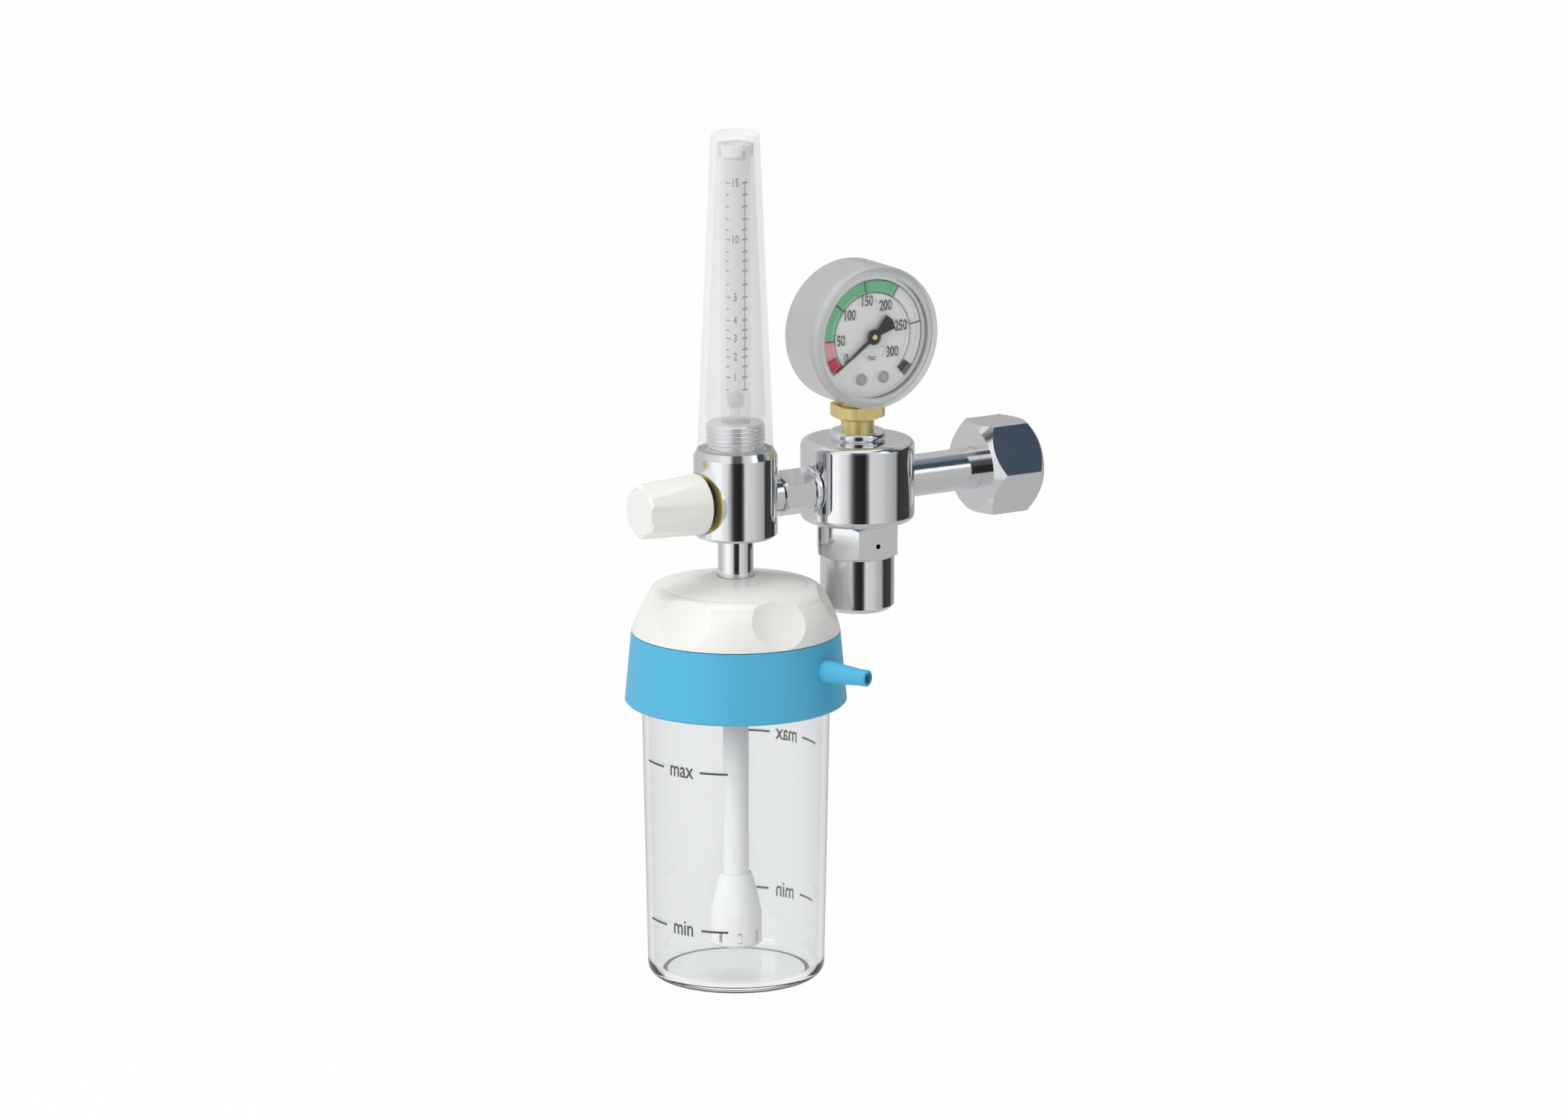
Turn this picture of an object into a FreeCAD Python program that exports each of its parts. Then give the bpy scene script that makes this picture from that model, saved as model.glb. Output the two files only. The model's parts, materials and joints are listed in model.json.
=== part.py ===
"""Cylinder regulator with contents gauge, flow tube and humidifier bottle.

Millimetres, +Z up. The origin is the mouth of the inlet nut, on the axis that the nut,
the inlet stem, the connector and the flow knob share. +X points out of the nut and -Y is
the side that the gauge faces.
"""
import FreeCAD, Part
import math
import os
from FreeCAD import Vector

# Places of the two upright axes, measured back from the mouth of the nut
regulator_reach = 69.6
flow_reach = 50.6
regulator_x = -regulator_reach
flow_x = regulator_x - flow_reach

# Clearances
fixed_fit = 0.05
running_fit = 0.06
seal_fit = 0.07
seat_gap = 0.3

# Inlet nut and stem
nut_across_flats = 32.0
nut_length = 21.5
nut_face_radius = 14.9
nut_thread_radius = 10.5
nut_thread_length = 12.4
nut_relief_radius = 11.0
nut_rear_wall = 4.0
stem_radius = 7.5
stem_bore_radius = 2.0
stem_thread_radius = 6.4
stem_thread_length = 9.3
stem_collar_radius = 10.2
stem_collar_length = 3.0
stem_counterbore = 1.9
inlet_seal_thickness = 1.4
inlet_seal_inner_radius = 5.0
filter_radius = 3.9
filter_length = 5.0

# Regulator body
body_radius = 20.3
body_top = 16.4
body_bottom = -12.8
body_top_round = 2.6
body_bottom_round = 2.3
passage_radius = 2.0
gauge_port_radius = 5.0
gauge_port_depth = 8.4
outlet_socket_radius = 5.0
outlet_socket_end = -10.6
outlet_spot_radius = 9.0
outlet_spot_x = -19.6
nozzle_radius = 0.8
chamber_top = -3.4
chamber_bottom = -7.5
chamber_radius = 5.5
link_bore_radius = 1.5
spigot_radius = 11.0
spigot_end = -18.8
guide_groove_radius = 5.5
guide_groove_top = -14.0
guide_groove_height = 1.6

# Bonnet and piston
bonnet_across_flats = 28.0
bonnet_hex_height = 12.9
bonnet_radius = 13.2
bonnet_length = 32.3
bonnet_bottom_wall = 7.3
bonnet_chamfer = 1.6
bonnet_hex_face_radius = 13.5
cylinder_radius = 10.2
vent_radius = 0.9
vent_z = -20.5
piston_stem_radius = 4.0
piston_top = -3.9
piston_head_top = -33.0
piston_head_height = 4.5
piston_bore_radius = 1.0
piston_groove_depth = 1.6
seat_pad_radius = 2.4
seat_pad_height = 1.5
spring_wire = 1.6
spring_radius = 6.6
spring_coils = 5
seal_section = 0.7

# Connector between the regulator and the flow body
connector_radius = 5.0
connector_collar_radius = 7.1
connector_collar_end = 17.0
connector_collar_start = 12.9
connector_thread_start = 6.5
connector_nut_across_flats = 14.4
connector_washer_radius = 8.6
connector_washer_thickness = 1.6
connector_bore_radius = 1.9

# Contents gauge
gauge_case_radius = 25.6
gauge_case_wall = 1.2
gauge_case_back = 9.4
gauge_case_front = -9.4
gauge_back_round = 3.0
lens_front = -13.0
lens_thickness = 1.2
lens_skirt_wall = 1.1
lens_skirt_end = -7.6
dial_edge_gap = 3.7
dial_front = -9.6
dial_thickness = 0.4
dial_hole_radius = 1.8
dial_stud_x = 4.6
dial_stud_edge = 2.3
dial_stud_head_radius = 2.2
dial_stud_head_height = 1.0
dial_stud_shank_radius = 0.8
gauge_collar_radius = 9.6
gauge_collar_height = 3.1
gauge_neck_radius = 5.9
wrench_flats = 16.4
wrench_corner_radius = 9.7
wrench_bottom = 23.4
wrench_top = 28.8
socket_half_width = 7.0
socket_top = 42.0
socket_foot_height = 2.9
case_seat_gap = 0.3
socket_front = -2.0
socket_back = 6.0
post_radius = 2.0
tube_spring_edge_gap = 7.1
tube_spring_width = 6.0
tube_spring_thickness = 2.4
tube_spring_y = 2.2
tube_spring_start = -70.0
tube_spring_end = 195.0

# Gauge movement
gear_module = 0.4
pinion_teeth = 12
sector_teeth_in_full_circle = 48
sector_teeth = 11
gear_slack = 0.1
pointer_swing = 252.0
plate_thickness = 0.8
back_plate_front = -2.8
front_plate_back = -6.1
arbor_radius = 0.9
gear_front = -5.4
gear_thickness = 1.6
sector_tail = 5.0
sector_pin_radius = 0.6
link_thickness = 0.5
pillar_radius = 1.2
pillar_x = 3.9
pillar_high = 5.2
pillar_low = 8.0
plate_margin = 2.6
plate_left_half = 2.6
plate_right = 5.8
plate_top = 7.4
plate_low = 10.4
plate_top_start = 3.0
plate_waist = 4.0
plate_waist_low = 8.0
plate_foot_half = 2.2
plate_foot_low = 12.4
plate_leg_length = 6.3
movement_screw_radius = 1.2
movement_screw_height = 0.8
movement_screw_upper = 1.5
movement_screw_lower = 4.9
pointer_front = -11.1
pointer_thickness = 0.3
pointer_tip_gap = 2.8
pointer_root_half = 0.8
pointer_neck_half = 0.5
pointer_tip_half = 0.2
pointer_tail = 9.4
pointer_tail_side = 8.5
pointer_tail_half = 3.2
pointer_tail_neck_half = 1.3
pointer_hub_radius = 2.8
pointer_pin_end = -11.6

# Flow body
flow_radius = 14.8
flow_bottom = -12.9
flow_top = 18.4
flow_top_chamfer = 2.4
flow_top_chamfer_width = 1.3
flow_bottom_chamfer = 1.0
flow_spigot_radius = 9.9
flow_spigot_end = 28.0
tube_socket_radius = 5.4
tube_socket_floor = 14.7
tube_feed_x = -4.0
tube_feed_radius = 1.3
return_radius = 1.2
return_offset = 7.8
return_level = -4.5
outlet_thread_radius = 4.95
outlet_thread_end = -5.5
valve_seat_x = -2.0
valve_seat_radius = 1.2
valve_chamber_x = -3.5
valve_chamber_radius = 4.5
gland_socket_x = -9.0
gland_thread_radius = 6.4
gland_flange_radius = 10.9
gland_flange_inner_x = -11.5
gland_flange_thickness = 0.6
gland_chamber_radius = 4.05
gland_chamber_end = -14.6
gland_neck_radius = 5.2
gland_neck_end = -18.0
gland_washer_radius = 7.4
gland_washer_thickness = 2.4

# Spindle and knob
spindle_radius = 2.5
spindle_end = -33.6
needle_tip_x = -2.4
needle_tip_radius = 0.5
needle_base_x = -5.0
needle_base_radius = 2.0
spindle_collar_start = -9.3
spindle_collar_length = 1.6
knob_base_x = -15.0
knob_length = 24.5
knob_base_radius = 10.8
knob_face_radius = 9.6
knob_wall = 2.0
knob_hub_radius = 4.6
knob_hub_start = -18.5
knob_front_wall = 4.6
knob_cap_radius = 8.0
knob_cap_thickness = 0.9
knob_flutes = 6
flute_radius = 16.0
flute_depth = 1.0
knob_screw_head_radius = 3.0
knob_screw_head_height = 1.6
knob_screw_shank_radius = 1.4
knob_screw_length = 6.4

# Flow tube, float and cover
tube_radius = 5.3
tube_bottom = 15.0
tube_top = 125.0
tube_feed_bore = 1.8
tube_floor = 33.5
tube_bore_low = 3.2
tube_bore_high = 4.1
ball_radius = 3.05
ball_stop_height = 3.4
ball_stop_hole = 1.5
spacer_height = 3.9
cover_base_radius = 13.4
cover_top_radius = 8.55
cover_top = 131.1
cover_top_wall = 4.0
cover_wall = 2.3
cover_thread_top = 29.0
cover_shoulder_z = 31.4
cover_top_round = 1.6
cover_seal_radius = 11.7
tube_seal_z = 22.0

# Outlet stem and humidifier
outlet_stem_radius = 6.25
outlet_stem_bore = 2.4
outlet_stem_end = -39.6
outlet_seal_thickness = 0.6
humidifier_top = -30.6
lid_top = -47.3
lid_bottom = -72.7
lid_top_radius = 37.0
lid_bottom_radius = 39.3
lid_wall = 1.8
lid_plate = 3.0
lid_seat_z = -60.6
lid_seat_inner_radius = 30.0
lid_seat_wall = 2.2
lid_skirt_wall = 1.5
lid_skirt_end = -71.0
lid_edge_round = 0.8
nozzle_angle = -65.0
nozzle_z = -57.4
nozzle_reach = 55.6
nozzle_root_radius = 4.2
nozzle_tip_radius = 2.95
nozzle_tip_length = 3.6
nozzle_bore_radius = 1.9
nozzle_boss_radius = 3.1
dome_base_radius = 36.9
dome_disc_inset = 11.3
dome_wall = 3.0
dome_side_inset = 2.0
dome_side_drop = 8.9
dome_shoulder_inset = 5.2
dome_shoulder_drop = 3.4
dome_turn_inset = 6.9
dome_turn_drop = 1.3
dome_rim_inset = 9.6
dome_rim_drop = 0.35
dome_lip_drop = 0.25
dome_lip_width = 0.4
dome_crown = 3.2
dome_mouth = 0.6
dome_roof_inset = 12.9
dome_roof_drop = 3.6
dome_cheek_inset = 7.9
dome_cheek_drop = 7.8
dome_skirt_inset = 3.4
dome_skirt_rise = 2.0
dome_hub_radius = 10.5
dome_hub_end = -45.0
dome_lip_top = -42.7
dome_lip_radius = 4.8
scallops = 6
scallop_first_angle = -94.0
scallop_radius = 45.0
scallop_depth = 2.5
scallop_spot_inset = 3.6
scallop_spot_drop = 5.9
scallop_lean = 25.5
inlet_flange_radius = 6.1
inlet_flange_thickness = 2.2
inlet_neck_radius = 4.7
inlet_shoulder_radius = 6.0
inlet_spigot_radius = 3.0
inlet_spigot_end = -62.0
inlet_bore_radius = 1.7
jar_foot_radius = 31.4
jar_shoulder_radius = 33.3
jar_wall = 2.2
jar_floor = 2.8
jar_bottom = -172.9
jar_corner = 5.0
jar_foot_recess = 1.0
jar_foot_slope = 2.0
jar_inner_corner = 3.4
jar_floor_crown = 0.4
jar_gasket_thickness = 1.8
jar_lid_gap = 0.4
diffuser_radius = 4.55
diffuser_bore_radius = 3.05
diffuser_collar_radius = 6.5
diffuser_collar_height = 3.0
diffuser_end = -139.0
bell_socket_length = 3.4
bell_flare_length = 14.6
bell_skirt_length = 11.1
bell_radius = 9.15
bell_neck_wall = 1.0
bell_bulge = 0.25
bell_funnel_start = 1.5
bell_edge_round = 0.8
bell_wall = 1.6
bell_slots = 8
bell_slot_width = 1.4
bell_slot_height = 4.0
bell_slot_rise = 1.6

UP = Vector(0, 0, 1)
ALONG_X = Vector(1, 0, 0)
BACK_X = Vector(-1, 0, 0)
ALONG_Y = Vector(0, 1, 0)
FORWARD = Vector(0, -1, 0)


def place(shape, direction, base):
    """Turn a shape made along +Z so that it runs along direction, and move it to base."""
    turn = FreeCAD.Rotation(UP, direction)
    placed = shape.copy()
    placed.transformShape(FreeCAD.Placement(base, turn).toMatrix(), True)
    return placed


def outline_face(points):
    """Flat face in the XZ plane from (radius, height) points; three-point tuples are arcs."""
    edges = []
    last = Vector(points[0][0], 0, points[0][1])
    first = last
    for item in points[1:] + [points[0]]:
        if len(item) == 4:
            middle = Vector(item[0], 0, item[1])
            end = Vector(item[2], 0, item[3])
            edges.append(Part.Arc(last, middle, end).toShape())
        else:
            end = Vector(item[0], 0, item[1])
            if (end - last).Length < 1e-7:
                continue
            edges.append(Part.makeLine(last, end))
        last = end
    if (last - first).Length > 1e-7:
        edges.append(Part.makeLine(last, first))
    return Part.Face(Part.Wire(edges))


def turned(points, base=Vector(0, 0, 0), direction=UP):
    """Solid of revolution of (radius, height) points about the line through base."""
    solid = outline_face(points).revolve(Vector(0, 0, 0), UP, 360)
    return place(solid, direction, base)


def rod(radius, start, end, base=Vector(0, 0, 0), direction=UP):
    """Cylinder from start to end, measured along direction from base."""
    low = min(start, end)
    cylinder = Part.makeCylinder(radius, abs(end - start), Vector(0, 0, low), UP)
    return place(cylinder, direction, base)


def ring(major, minor, height, base=Vector(0, 0, 0), direction=UP):
    """Round seal ring whose centre circle lies at height along direction."""
    torus = Part.makeTorus(major, minor, Vector(0, 0, height), UP)
    return place(torus, direction, base)


def prism(across_flats, sides, start, end, first_angle, base, direction):
    """Regular prism whose first flat faces first_angle."""
    corner = across_flats / 2 / math.cos(math.pi / sides)
    points = []
    for index in range(sides):
        angle = math.radians(first_angle) + (index + 0.5) * 2 * math.pi / sides
        points.append(Vector(corner * math.cos(angle), corner * math.sin(angle), start))
    face = Part.Face(Part.makePolygon(points + points[:1]))
    return place(face.extrude(Vector(0, 0, end - start)), direction, base)


def chamfer_envelope(across_flats, face_radius, start, end, base, direction, angle=45.0):
    """Turned blank that takes the corners off both ends of a hexagon."""
    corner = across_flats / math.sqrt(3) + 0.2
    depth = (corner - face_radius) * math.tan(math.radians(angle))
    outline = [(0, start), (face_radius, start), (corner, start + depth),
               (corner, end - depth), (face_radius, end), (0, end)]
    return turned(outline, base, direction)


def rounded(shape, radius, wanted):
    """Fillet the edges for which wanted(edge) is true."""
    return shape.makeFillet(radius, [edge for edge in shape.Edges if wanted(edge)])


def circle_edge(edge, radius, level, axis):
    """True for a full circle of this radius, lying at this level along an axis index."""
    curve = edge.Curve
    if not isinstance(curve, Part.Circle):
        return False
    return abs(curve.Radius - radius) < 1e-4 and abs(curve.Center[axis] - level) < 1e-4


def polar(radius, degrees, z=0.0):
    """Point at a distance and angle about the origin."""
    angle = math.radians(degrees)
    return Vector(radius * math.cos(angle), radius * math.sin(angle), z)


gauge_height = wrench_top + case_seat_gap + gauge_case_radius
socket_bottom = wrench_top + socket_foot_height
dial_radius = gauge_case_radius - dial_edge_gap
tube_spring_radius = gauge_case_radius - tube_spring_edge_gap
pointer_length = dial_radius - pointer_tip_gap
stud_drop = gauge_height - socket_top + dial_stud_edge
bell_top = diffuser_end + bell_socket_length
bell_wide_z = bell_top - bell_flare_length
bell_bottom = bell_wide_z - bell_skirt_length
regulator = Vector(regulator_x, 0, 0)
flow = Vector(flow_x, 0, 0)
gauge = Vector(regulator_x, 0, gauge_height)
nut_rear = -nut_length
collar_rear = nut_rear + nut_rear_wall + seat_gap
collar_front = collar_rear + stem_collar_length


# Inlet
def inlet_nut():
    blank = prism(nut_across_flats, 6, nut_rear, 0, 0, Vector(0, 0, 0), ALONG_X)
    blank = blank.common(chamfer_envelope(nut_across_flats, nut_face_radius, nut_rear, 0,
                                          Vector(0, 0, 0), ALONG_X))
    wall_front = nut_rear + nut_rear_wall
    bore = turned([(0, nut_rear - 1), (stem_radius + running_fit, nut_rear - 1),
                   (stem_radius + running_fit, wall_front), (nut_relief_radius, wall_front),
                   (nut_relief_radius, -nut_thread_length),
                   (nut_thread_radius, -nut_thread_length), (nut_thread_radius, 1), (0, 1)],
                  Vector(0, 0, 0), ALONG_X)
    return blank.cut(bore)


def inlet_stem():
    seat = regulator_x + body_radius - stem_counterbore
    thread_end = regulator_x + body_radius - stem_thread_length
    outline = [(stem_bore_radius, thread_end), (stem_thread_radius, thread_end),
               (stem_thread_radius, seat), (stem_radius, seat), (stem_radius, collar_rear),
               (stem_collar_radius, collar_rear), (stem_collar_radius, collar_front),
               (filter_radius + fixed_fit, collar_front),
               (filter_radius + fixed_fit, collar_front - filter_length),
               (stem_bore_radius, collar_front - filter_length)]
    return turned(outline, Vector(0, 0, 0), ALONG_X)


def inlet_seal():
    front = collar_front + inlet_seal_thickness
    outline = [(inlet_seal_inner_radius, collar_front), (stem_collar_radius, collar_front),
               (stem_collar_radius, front), (inlet_seal_inner_radius, front)]
    return turned(outline, Vector(0, 0, 0), ALONG_X)


def inlet_filter():
    return rod(filter_radius, collar_front - filter_length, collar_front,
               Vector(0, 0, 0), ALONG_X)


# Regulator
def regulator_body():
    solid = turned([(0, body_bottom), (body_radius, body_bottom), (body_radius, body_top),
                    (0, body_top)], regulator)
    solid = rounded(solid, body_top_round,
                    lambda edge: circle_edge(edge, body_radius, body_top, 2))
    solid = rounded(solid, body_bottom_round,
                    lambda edge: circle_edge(edge, body_radius, body_bottom, 2))
    solid = solid.fuse(rod(spigot_radius, spigot_end, body_bottom, regulator))
    cuts = [
        rod(stem_radius + fixed_fit, body_radius - stem_counterbore, body_radius + 1,
            regulator, ALONG_X),
        rod(stem_thread_radius + fixed_fit, body_radius - stem_thread_length, body_radius,
            regulator, ALONG_X),
        rod(passage_radius, nozzle_radius - passage_radius, body_radius, regulator, ALONG_X),
        rod(passage_radius, 0, body_top, regulator),
        rod(nozzle_radius, chamber_top, 0, regulator),
        rod(gauge_port_radius + fixed_fit, body_top - gauge_port_depth, body_top + 1, regulator),
        rod(outlet_spot_radius, outlet_spot_x, outlet_spot_x - body_radius, regulator, ALONG_X),
        rod(outlet_socket_radius + fixed_fit, outlet_socket_end, -body_radius, regulator,
            ALONG_X),
        rod(passage_radius, -chamber_radius, -body_radius, regulator, ALONG_X),
        rod(link_bore_radius, chamber_top - 1, 0, regulator + Vector(-chamber_radius, 0, 0)),
        rod(chamber_radius, chamber_bottom, chamber_top, regulator),
        rod(piston_stem_radius + running_fit, spigot_end - 1, chamber_bottom, regulator),
        rod(guide_groove_radius, guide_groove_top - guide_groove_height, guide_groove_top,
            regulator),
    ]
    for cutter in cuts:
        solid = solid.cut(cutter)
    return solid


def bonnet():
    bottom = body_bottom - bonnet_length
    hex_bottom = body_bottom - bonnet_hex_height
    hexagon = prism(bonnet_across_flats, 6, hex_bottom, body_bottom, -90, regulator, UP)
    hexagon = hexagon.common(chamfer_envelope(bonnet_across_flats, bonnet_hex_face_radius,
                                              hex_bottom, body_bottom, regulator, UP, 30.0))
    barrel = turned([(0, bottom), (bonnet_radius - bonnet_chamfer, bottom),
                     (bonnet_radius, bottom + bonnet_chamfer), (bonnet_radius, hex_bottom + 1),
                     (0, hex_bottom + 1)], regulator)
    cylinder_top = spigot_end - seat_gap
    bore = turned([(0, bottom + bonnet_bottom_wall), (cylinder_radius, bottom + bonnet_bottom_wall),
                   (cylinder_radius, cylinder_top), (spigot_radius + fixed_fit, cylinder_top),
                   (spigot_radius + fixed_fit, body_bottom + 1), (0, body_bottom + 1)], regulator)
    vent = rod(vent_radius, 0, bonnet_across_flats, regulator + Vector(0, 0, vent_z), FORWARD)
    return hexagon.fuse(barrel).cut(bore).cut(vent).removeSplitter()


def piston():
    head_bottom = piston_head_top - piston_head_height
    head_radius = cylinder_radius - running_fit
    groove_middle = piston_head_top - piston_head_height / 2
    half_groove = seal_section + 0.1
    outline = [(0, head_bottom), (head_radius, head_bottom),
               (head_radius, groove_middle - half_groove),
               (head_radius - piston_groove_depth, groove_middle - half_groove),
               (head_radius - piston_groove_depth, groove_middle + half_groove),
               (head_radius, groove_middle + half_groove), (head_radius, piston_head_top),
               (piston_stem_radius, piston_head_top), (piston_stem_radius, piston_top),
               (seat_pad_radius + fixed_fit, piston_top),
               (seat_pad_radius + fixed_fit, piston_top - seat_pad_height),
               (0, piston_top - seat_pad_height)]
    solid = turned(outline, regulator)
    cross_z = piston_top - seat_pad_height - piston_bore_radius - 0.3
    solid = solid.cut(rod(piston_bore_radius, head_bottom - 1, cross_z, regulator))
    cross = rod(piston_bore_radius, -piston_stem_radius - 1, piston_stem_radius + 1,
                regulator + Vector(0, 0, cross_z), ALONG_X)
    return solid.cut(cross)


def seat_pad():
    return rod(seat_pad_radius, piston_top - seat_pad_height, piston_top, regulator)


def piston_head_seal():
    middle = piston_head_top - piston_head_height / 2
    return ring(cylinder_radius - seal_fit - seal_section, seal_section, middle, regulator)


def piston_stem_seal():
    middle = guide_groove_top - guide_groove_height / 2
    return ring(piston_stem_radius + seal_fit + seal_section, seal_section, middle, regulator)


def main_spring():
    bottom = piston_head_top + spring_wire / 2
    height = spigot_end - spring_wire / 2 - bottom
    helix = Part.makeHelix(height / spring_coils, height, spring_radius)
    section = Part.Wire(Part.makeCircle(spring_wire / 2, Vector(spring_radius, 0, 0), ALONG_Y))
    coil = Part.Wire(helix).makePipeShell([section], True, True)
    return place(coil, UP, regulator + Vector(0, 0, bottom))


# Connector
def connector_nipple():
    seat = flow_reach + outlet_spot_x
    far_end = flow_reach + outlet_socket_end - seat_gap
    outline = [(connector_bore_radius, connector_thread_start + seat_gap),
               (connector_radius, connector_thread_start + seat_gap),
               (connector_radius, connector_collar_start),
               (connector_collar_radius, connector_collar_start),
               (connector_collar_radius, connector_collar_end - 0.8),
               (connector_collar_radius - 0.8, connector_collar_end),
               (connector_radius, connector_collar_end), (connector_radius, seat),
               (connector_radius, far_end), (connector_bore_radius, far_end)]
    return turned(outline, flow, ALONG_X)


def connector_nut():
    end = flow_reach + outlet_spot_x - connector_washer_thickness
    blank = prism(connector_nut_across_flats, 6, connector_collar_end, end, 30, flow, ALONG_X)
    blank = blank.common(chamfer_envelope(connector_nut_across_flats,
                                          connector_nut_across_flats / 2 - 0.1,
                                          connector_collar_end, end, flow, ALONG_X, 40.0))
    return blank.cut(rod(connector_radius + fixed_fit, 0, flow_reach, flow, ALONG_X))


def connector_washer():
    end = flow_reach + outlet_spot_x
    start = end - connector_washer_thickness
    inner = connector_radius + fixed_fit
    outline = [(inner, start), (connector_washer_radius - 0.6, start),
               (connector_washer_radius, start + 0.6), (connector_washer_radius, end), (inner, end)]
    return turned(outline, flow, ALONG_X)


# Contents gauge
def gauge_collar():
    top = body_top + gauge_collar_height
    inner = gauge_port_radius + fixed_fit
    outline = [(inner, body_top), (gauge_collar_radius, body_top),
               (gauge_collar_radius + 0.5, body_top + gauge_collar_height / 2,
                gauge_collar_radius - 0.5, top), (inner, top)]
    return turned(outline, regulator)


def stem_block(margin):
    corner = Vector(-socket_half_width - margin, socket_front - margin, socket_bottom - margin)
    return Part.makeBox(2 * (socket_half_width + margin), socket_back - socket_front + 2 * margin,
                        socket_top - socket_bottom + 2 * margin, regulator + corner)


def gauge_stem():
    port_floor = body_top - gauge_port_depth + seat_gap
    collar_top = body_top + gauge_collar_height
    case_hole = gauge_neck_radius - fixed_fit
    shank = turned([(0, port_floor), (gauge_port_radius, port_floor),
                    (gauge_port_radius, collar_top), (gauge_neck_radius, collar_top),
                    (gauge_neck_radius, wrench_bottom + 0.5), (case_hole, wrench_bottom + 0.5),
                    (case_hole, socket_bottom + 1), (0, socket_bottom + 1)], regulator)
    square = prism(wrench_flats, 4, wrench_bottom, wrench_top, 0, regulator, UP)
    corners = turned([(0, wrench_bottom), (gauge_neck_radius + 0.6, wrench_bottom),
                      (wrench_corner_radius, wrench_bottom + 1.4),
                      (wrench_corner_radius, wrench_top), (0, wrench_top)], regulator)
    solid = shank.fuse([square.common(corners), stem_block(0)])
    post_length = socket_front - (dial_front + dial_thickness)
    for side in (-1, 1):
        foot = gauge + Vector(side * dial_stud_x, socket_front + 0.5, -stud_drop)
        solid = solid.fuse(rod(post_radius, 0, post_length + 0.5, foot, FORWARD))
        solid = solid.cut(rod(dial_stud_shank_radius + fixed_fit, 0, post_length + 0.6, foot,
                              FORWARD))
    feed = rod(1.2, port_floor - 1, socket_top - 4, regulator)
    tube_feed = rod(0.8, 0, socket_half_width + 1,
                    regulator + Vector(0, tube_spring_y, socket_top - 5), ALONG_X)
    return solid.cut(feed).cut(tube_feed).removeSplitter()


def gauge_case():
    inner = gauge_case_radius - gauge_case_wall
    back_inner = gauge_case_back - gauge_case_wall
    outer_round = gauge_back_round
    inner_round = outer_round - gauge_case_wall
    knee = 1 - math.sqrt(0.5)
    outline = [(0, gauge_case_back), (gauge_case_radius - outer_round, gauge_case_back),
               (gauge_case_radius - outer_round * knee, gauge_case_back - outer_round * knee,
                gauge_case_radius, gauge_case_back - outer_round),
               (gauge_case_radius, gauge_case_front), (inner, gauge_case_front),
               (inner, back_inner - inner_round),
               (inner - inner_round * knee, back_inner - inner_round * knee,
                inner - inner_round, back_inner), (0, back_inner)]
    solid = turned(outline, gauge, ALONG_Y)
    return solid.cut(rod(gauge_neck_radius, 0, gauge_height, regulator))


def gauge_lens():
    skirt = gauge_case_radius - gauge_case_wall - fixed_fit
    inner = skirt - lens_skirt_wall
    back = lens_front + lens_thickness
    outline = [(0, lens_front + 0.3), (gauge_case_radius - 2.4, lens_front + 0.3),
               (gauge_case_radius - 1.9, lens_front), (gauge_case_radius - 0.9, lens_front),
               (gauge_case_radius - 0.25, lens_front + 0.3, gauge_case_radius, lens_front + 1),
               (gauge_case_radius, gauge_case_front), (skirt, gauge_case_front),
               (skirt, lens_skirt_end), (inner, lens_skirt_end), (inner, back), (0, back)]
    return turned(outline, gauge, ALONG_Y)


def dial():
    back = dial_front + dial_thickness
    solid = turned([(dial_hole_radius, dial_front), (dial_radius, dial_front),
                    (dial_radius, back), (dial_hole_radius, back)], gauge, ALONG_Y)
    for side in (-1, 1):
        centre = gauge + Vector(side * dial_stud_x, 0, -stud_drop)
        hole = rod(dial_stud_shank_radius + fixed_fit, -dial_front - 1, -dial_front + 1,
                   centre, FORWARD)
        solid = solid.cut(hole)
    return solid


def dial_studs():
    studs = []
    head_top = -dial_front + dial_stud_head_height
    rim = -dial_front + 0.2
    for side in (-1, 1):
        centre = gauge + Vector(side * dial_stud_x, 0, -stud_drop)
        outline = [(0, -socket_front), (dial_stud_shank_radius, -socket_front),
                   (dial_stud_shank_radius, -dial_front), (dial_stud_head_radius, -dial_front),
                   (dial_stud_head_radius, rim),
                   (dial_stud_head_radius * 0.7, (rim + head_top) / 2 + 0.12, 0.1, head_top),
                   (0, head_top)]
        studs.append(turned(outline, centre, FORWARD))
    return Part.makeCompound(studs)


def tube_spring():
    section_points = []
    half_width = tube_spring_width / 2
    half_thickness = tube_spring_thickness / 2
    flat = half_width - half_thickness
    start = Vector(tube_spring_radius - half_thickness, -flat, 0)
    edges = [
        Part.makeLine(start, Vector(tube_spring_radius - half_thickness, flat, 0)),
        Part.Arc(Vector(tube_spring_radius - half_thickness, flat, 0),
                 Vector(tube_spring_radius, half_width, 0),
                 Vector(tube_spring_radius + half_thickness, flat, 0)).toShape(),
        Part.makeLine(Vector(tube_spring_radius + half_thickness, flat, 0),
                      Vector(tube_spring_radius + half_thickness, -flat, 0)),
        Part.Arc(Vector(tube_spring_radius + half_thickness, -flat, 0),
                 Vector(tube_spring_radius, -half_width, 0), start).toShape(),
    ]
    face = Part.Face(Part.Wire(edges))
    sweep = tube_spring_end - tube_spring_start
    solid = face.revolve(Vector(0, 0, 0), FORWARD, sweep)
    solid.rotate(Vector(0, 0, 0), FORWARD, tube_spring_start)
    solid.translate(gauge + Vector(0, tube_spring_y, 0))
    return solid.cut(stem_block(fixed_fit))


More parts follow.
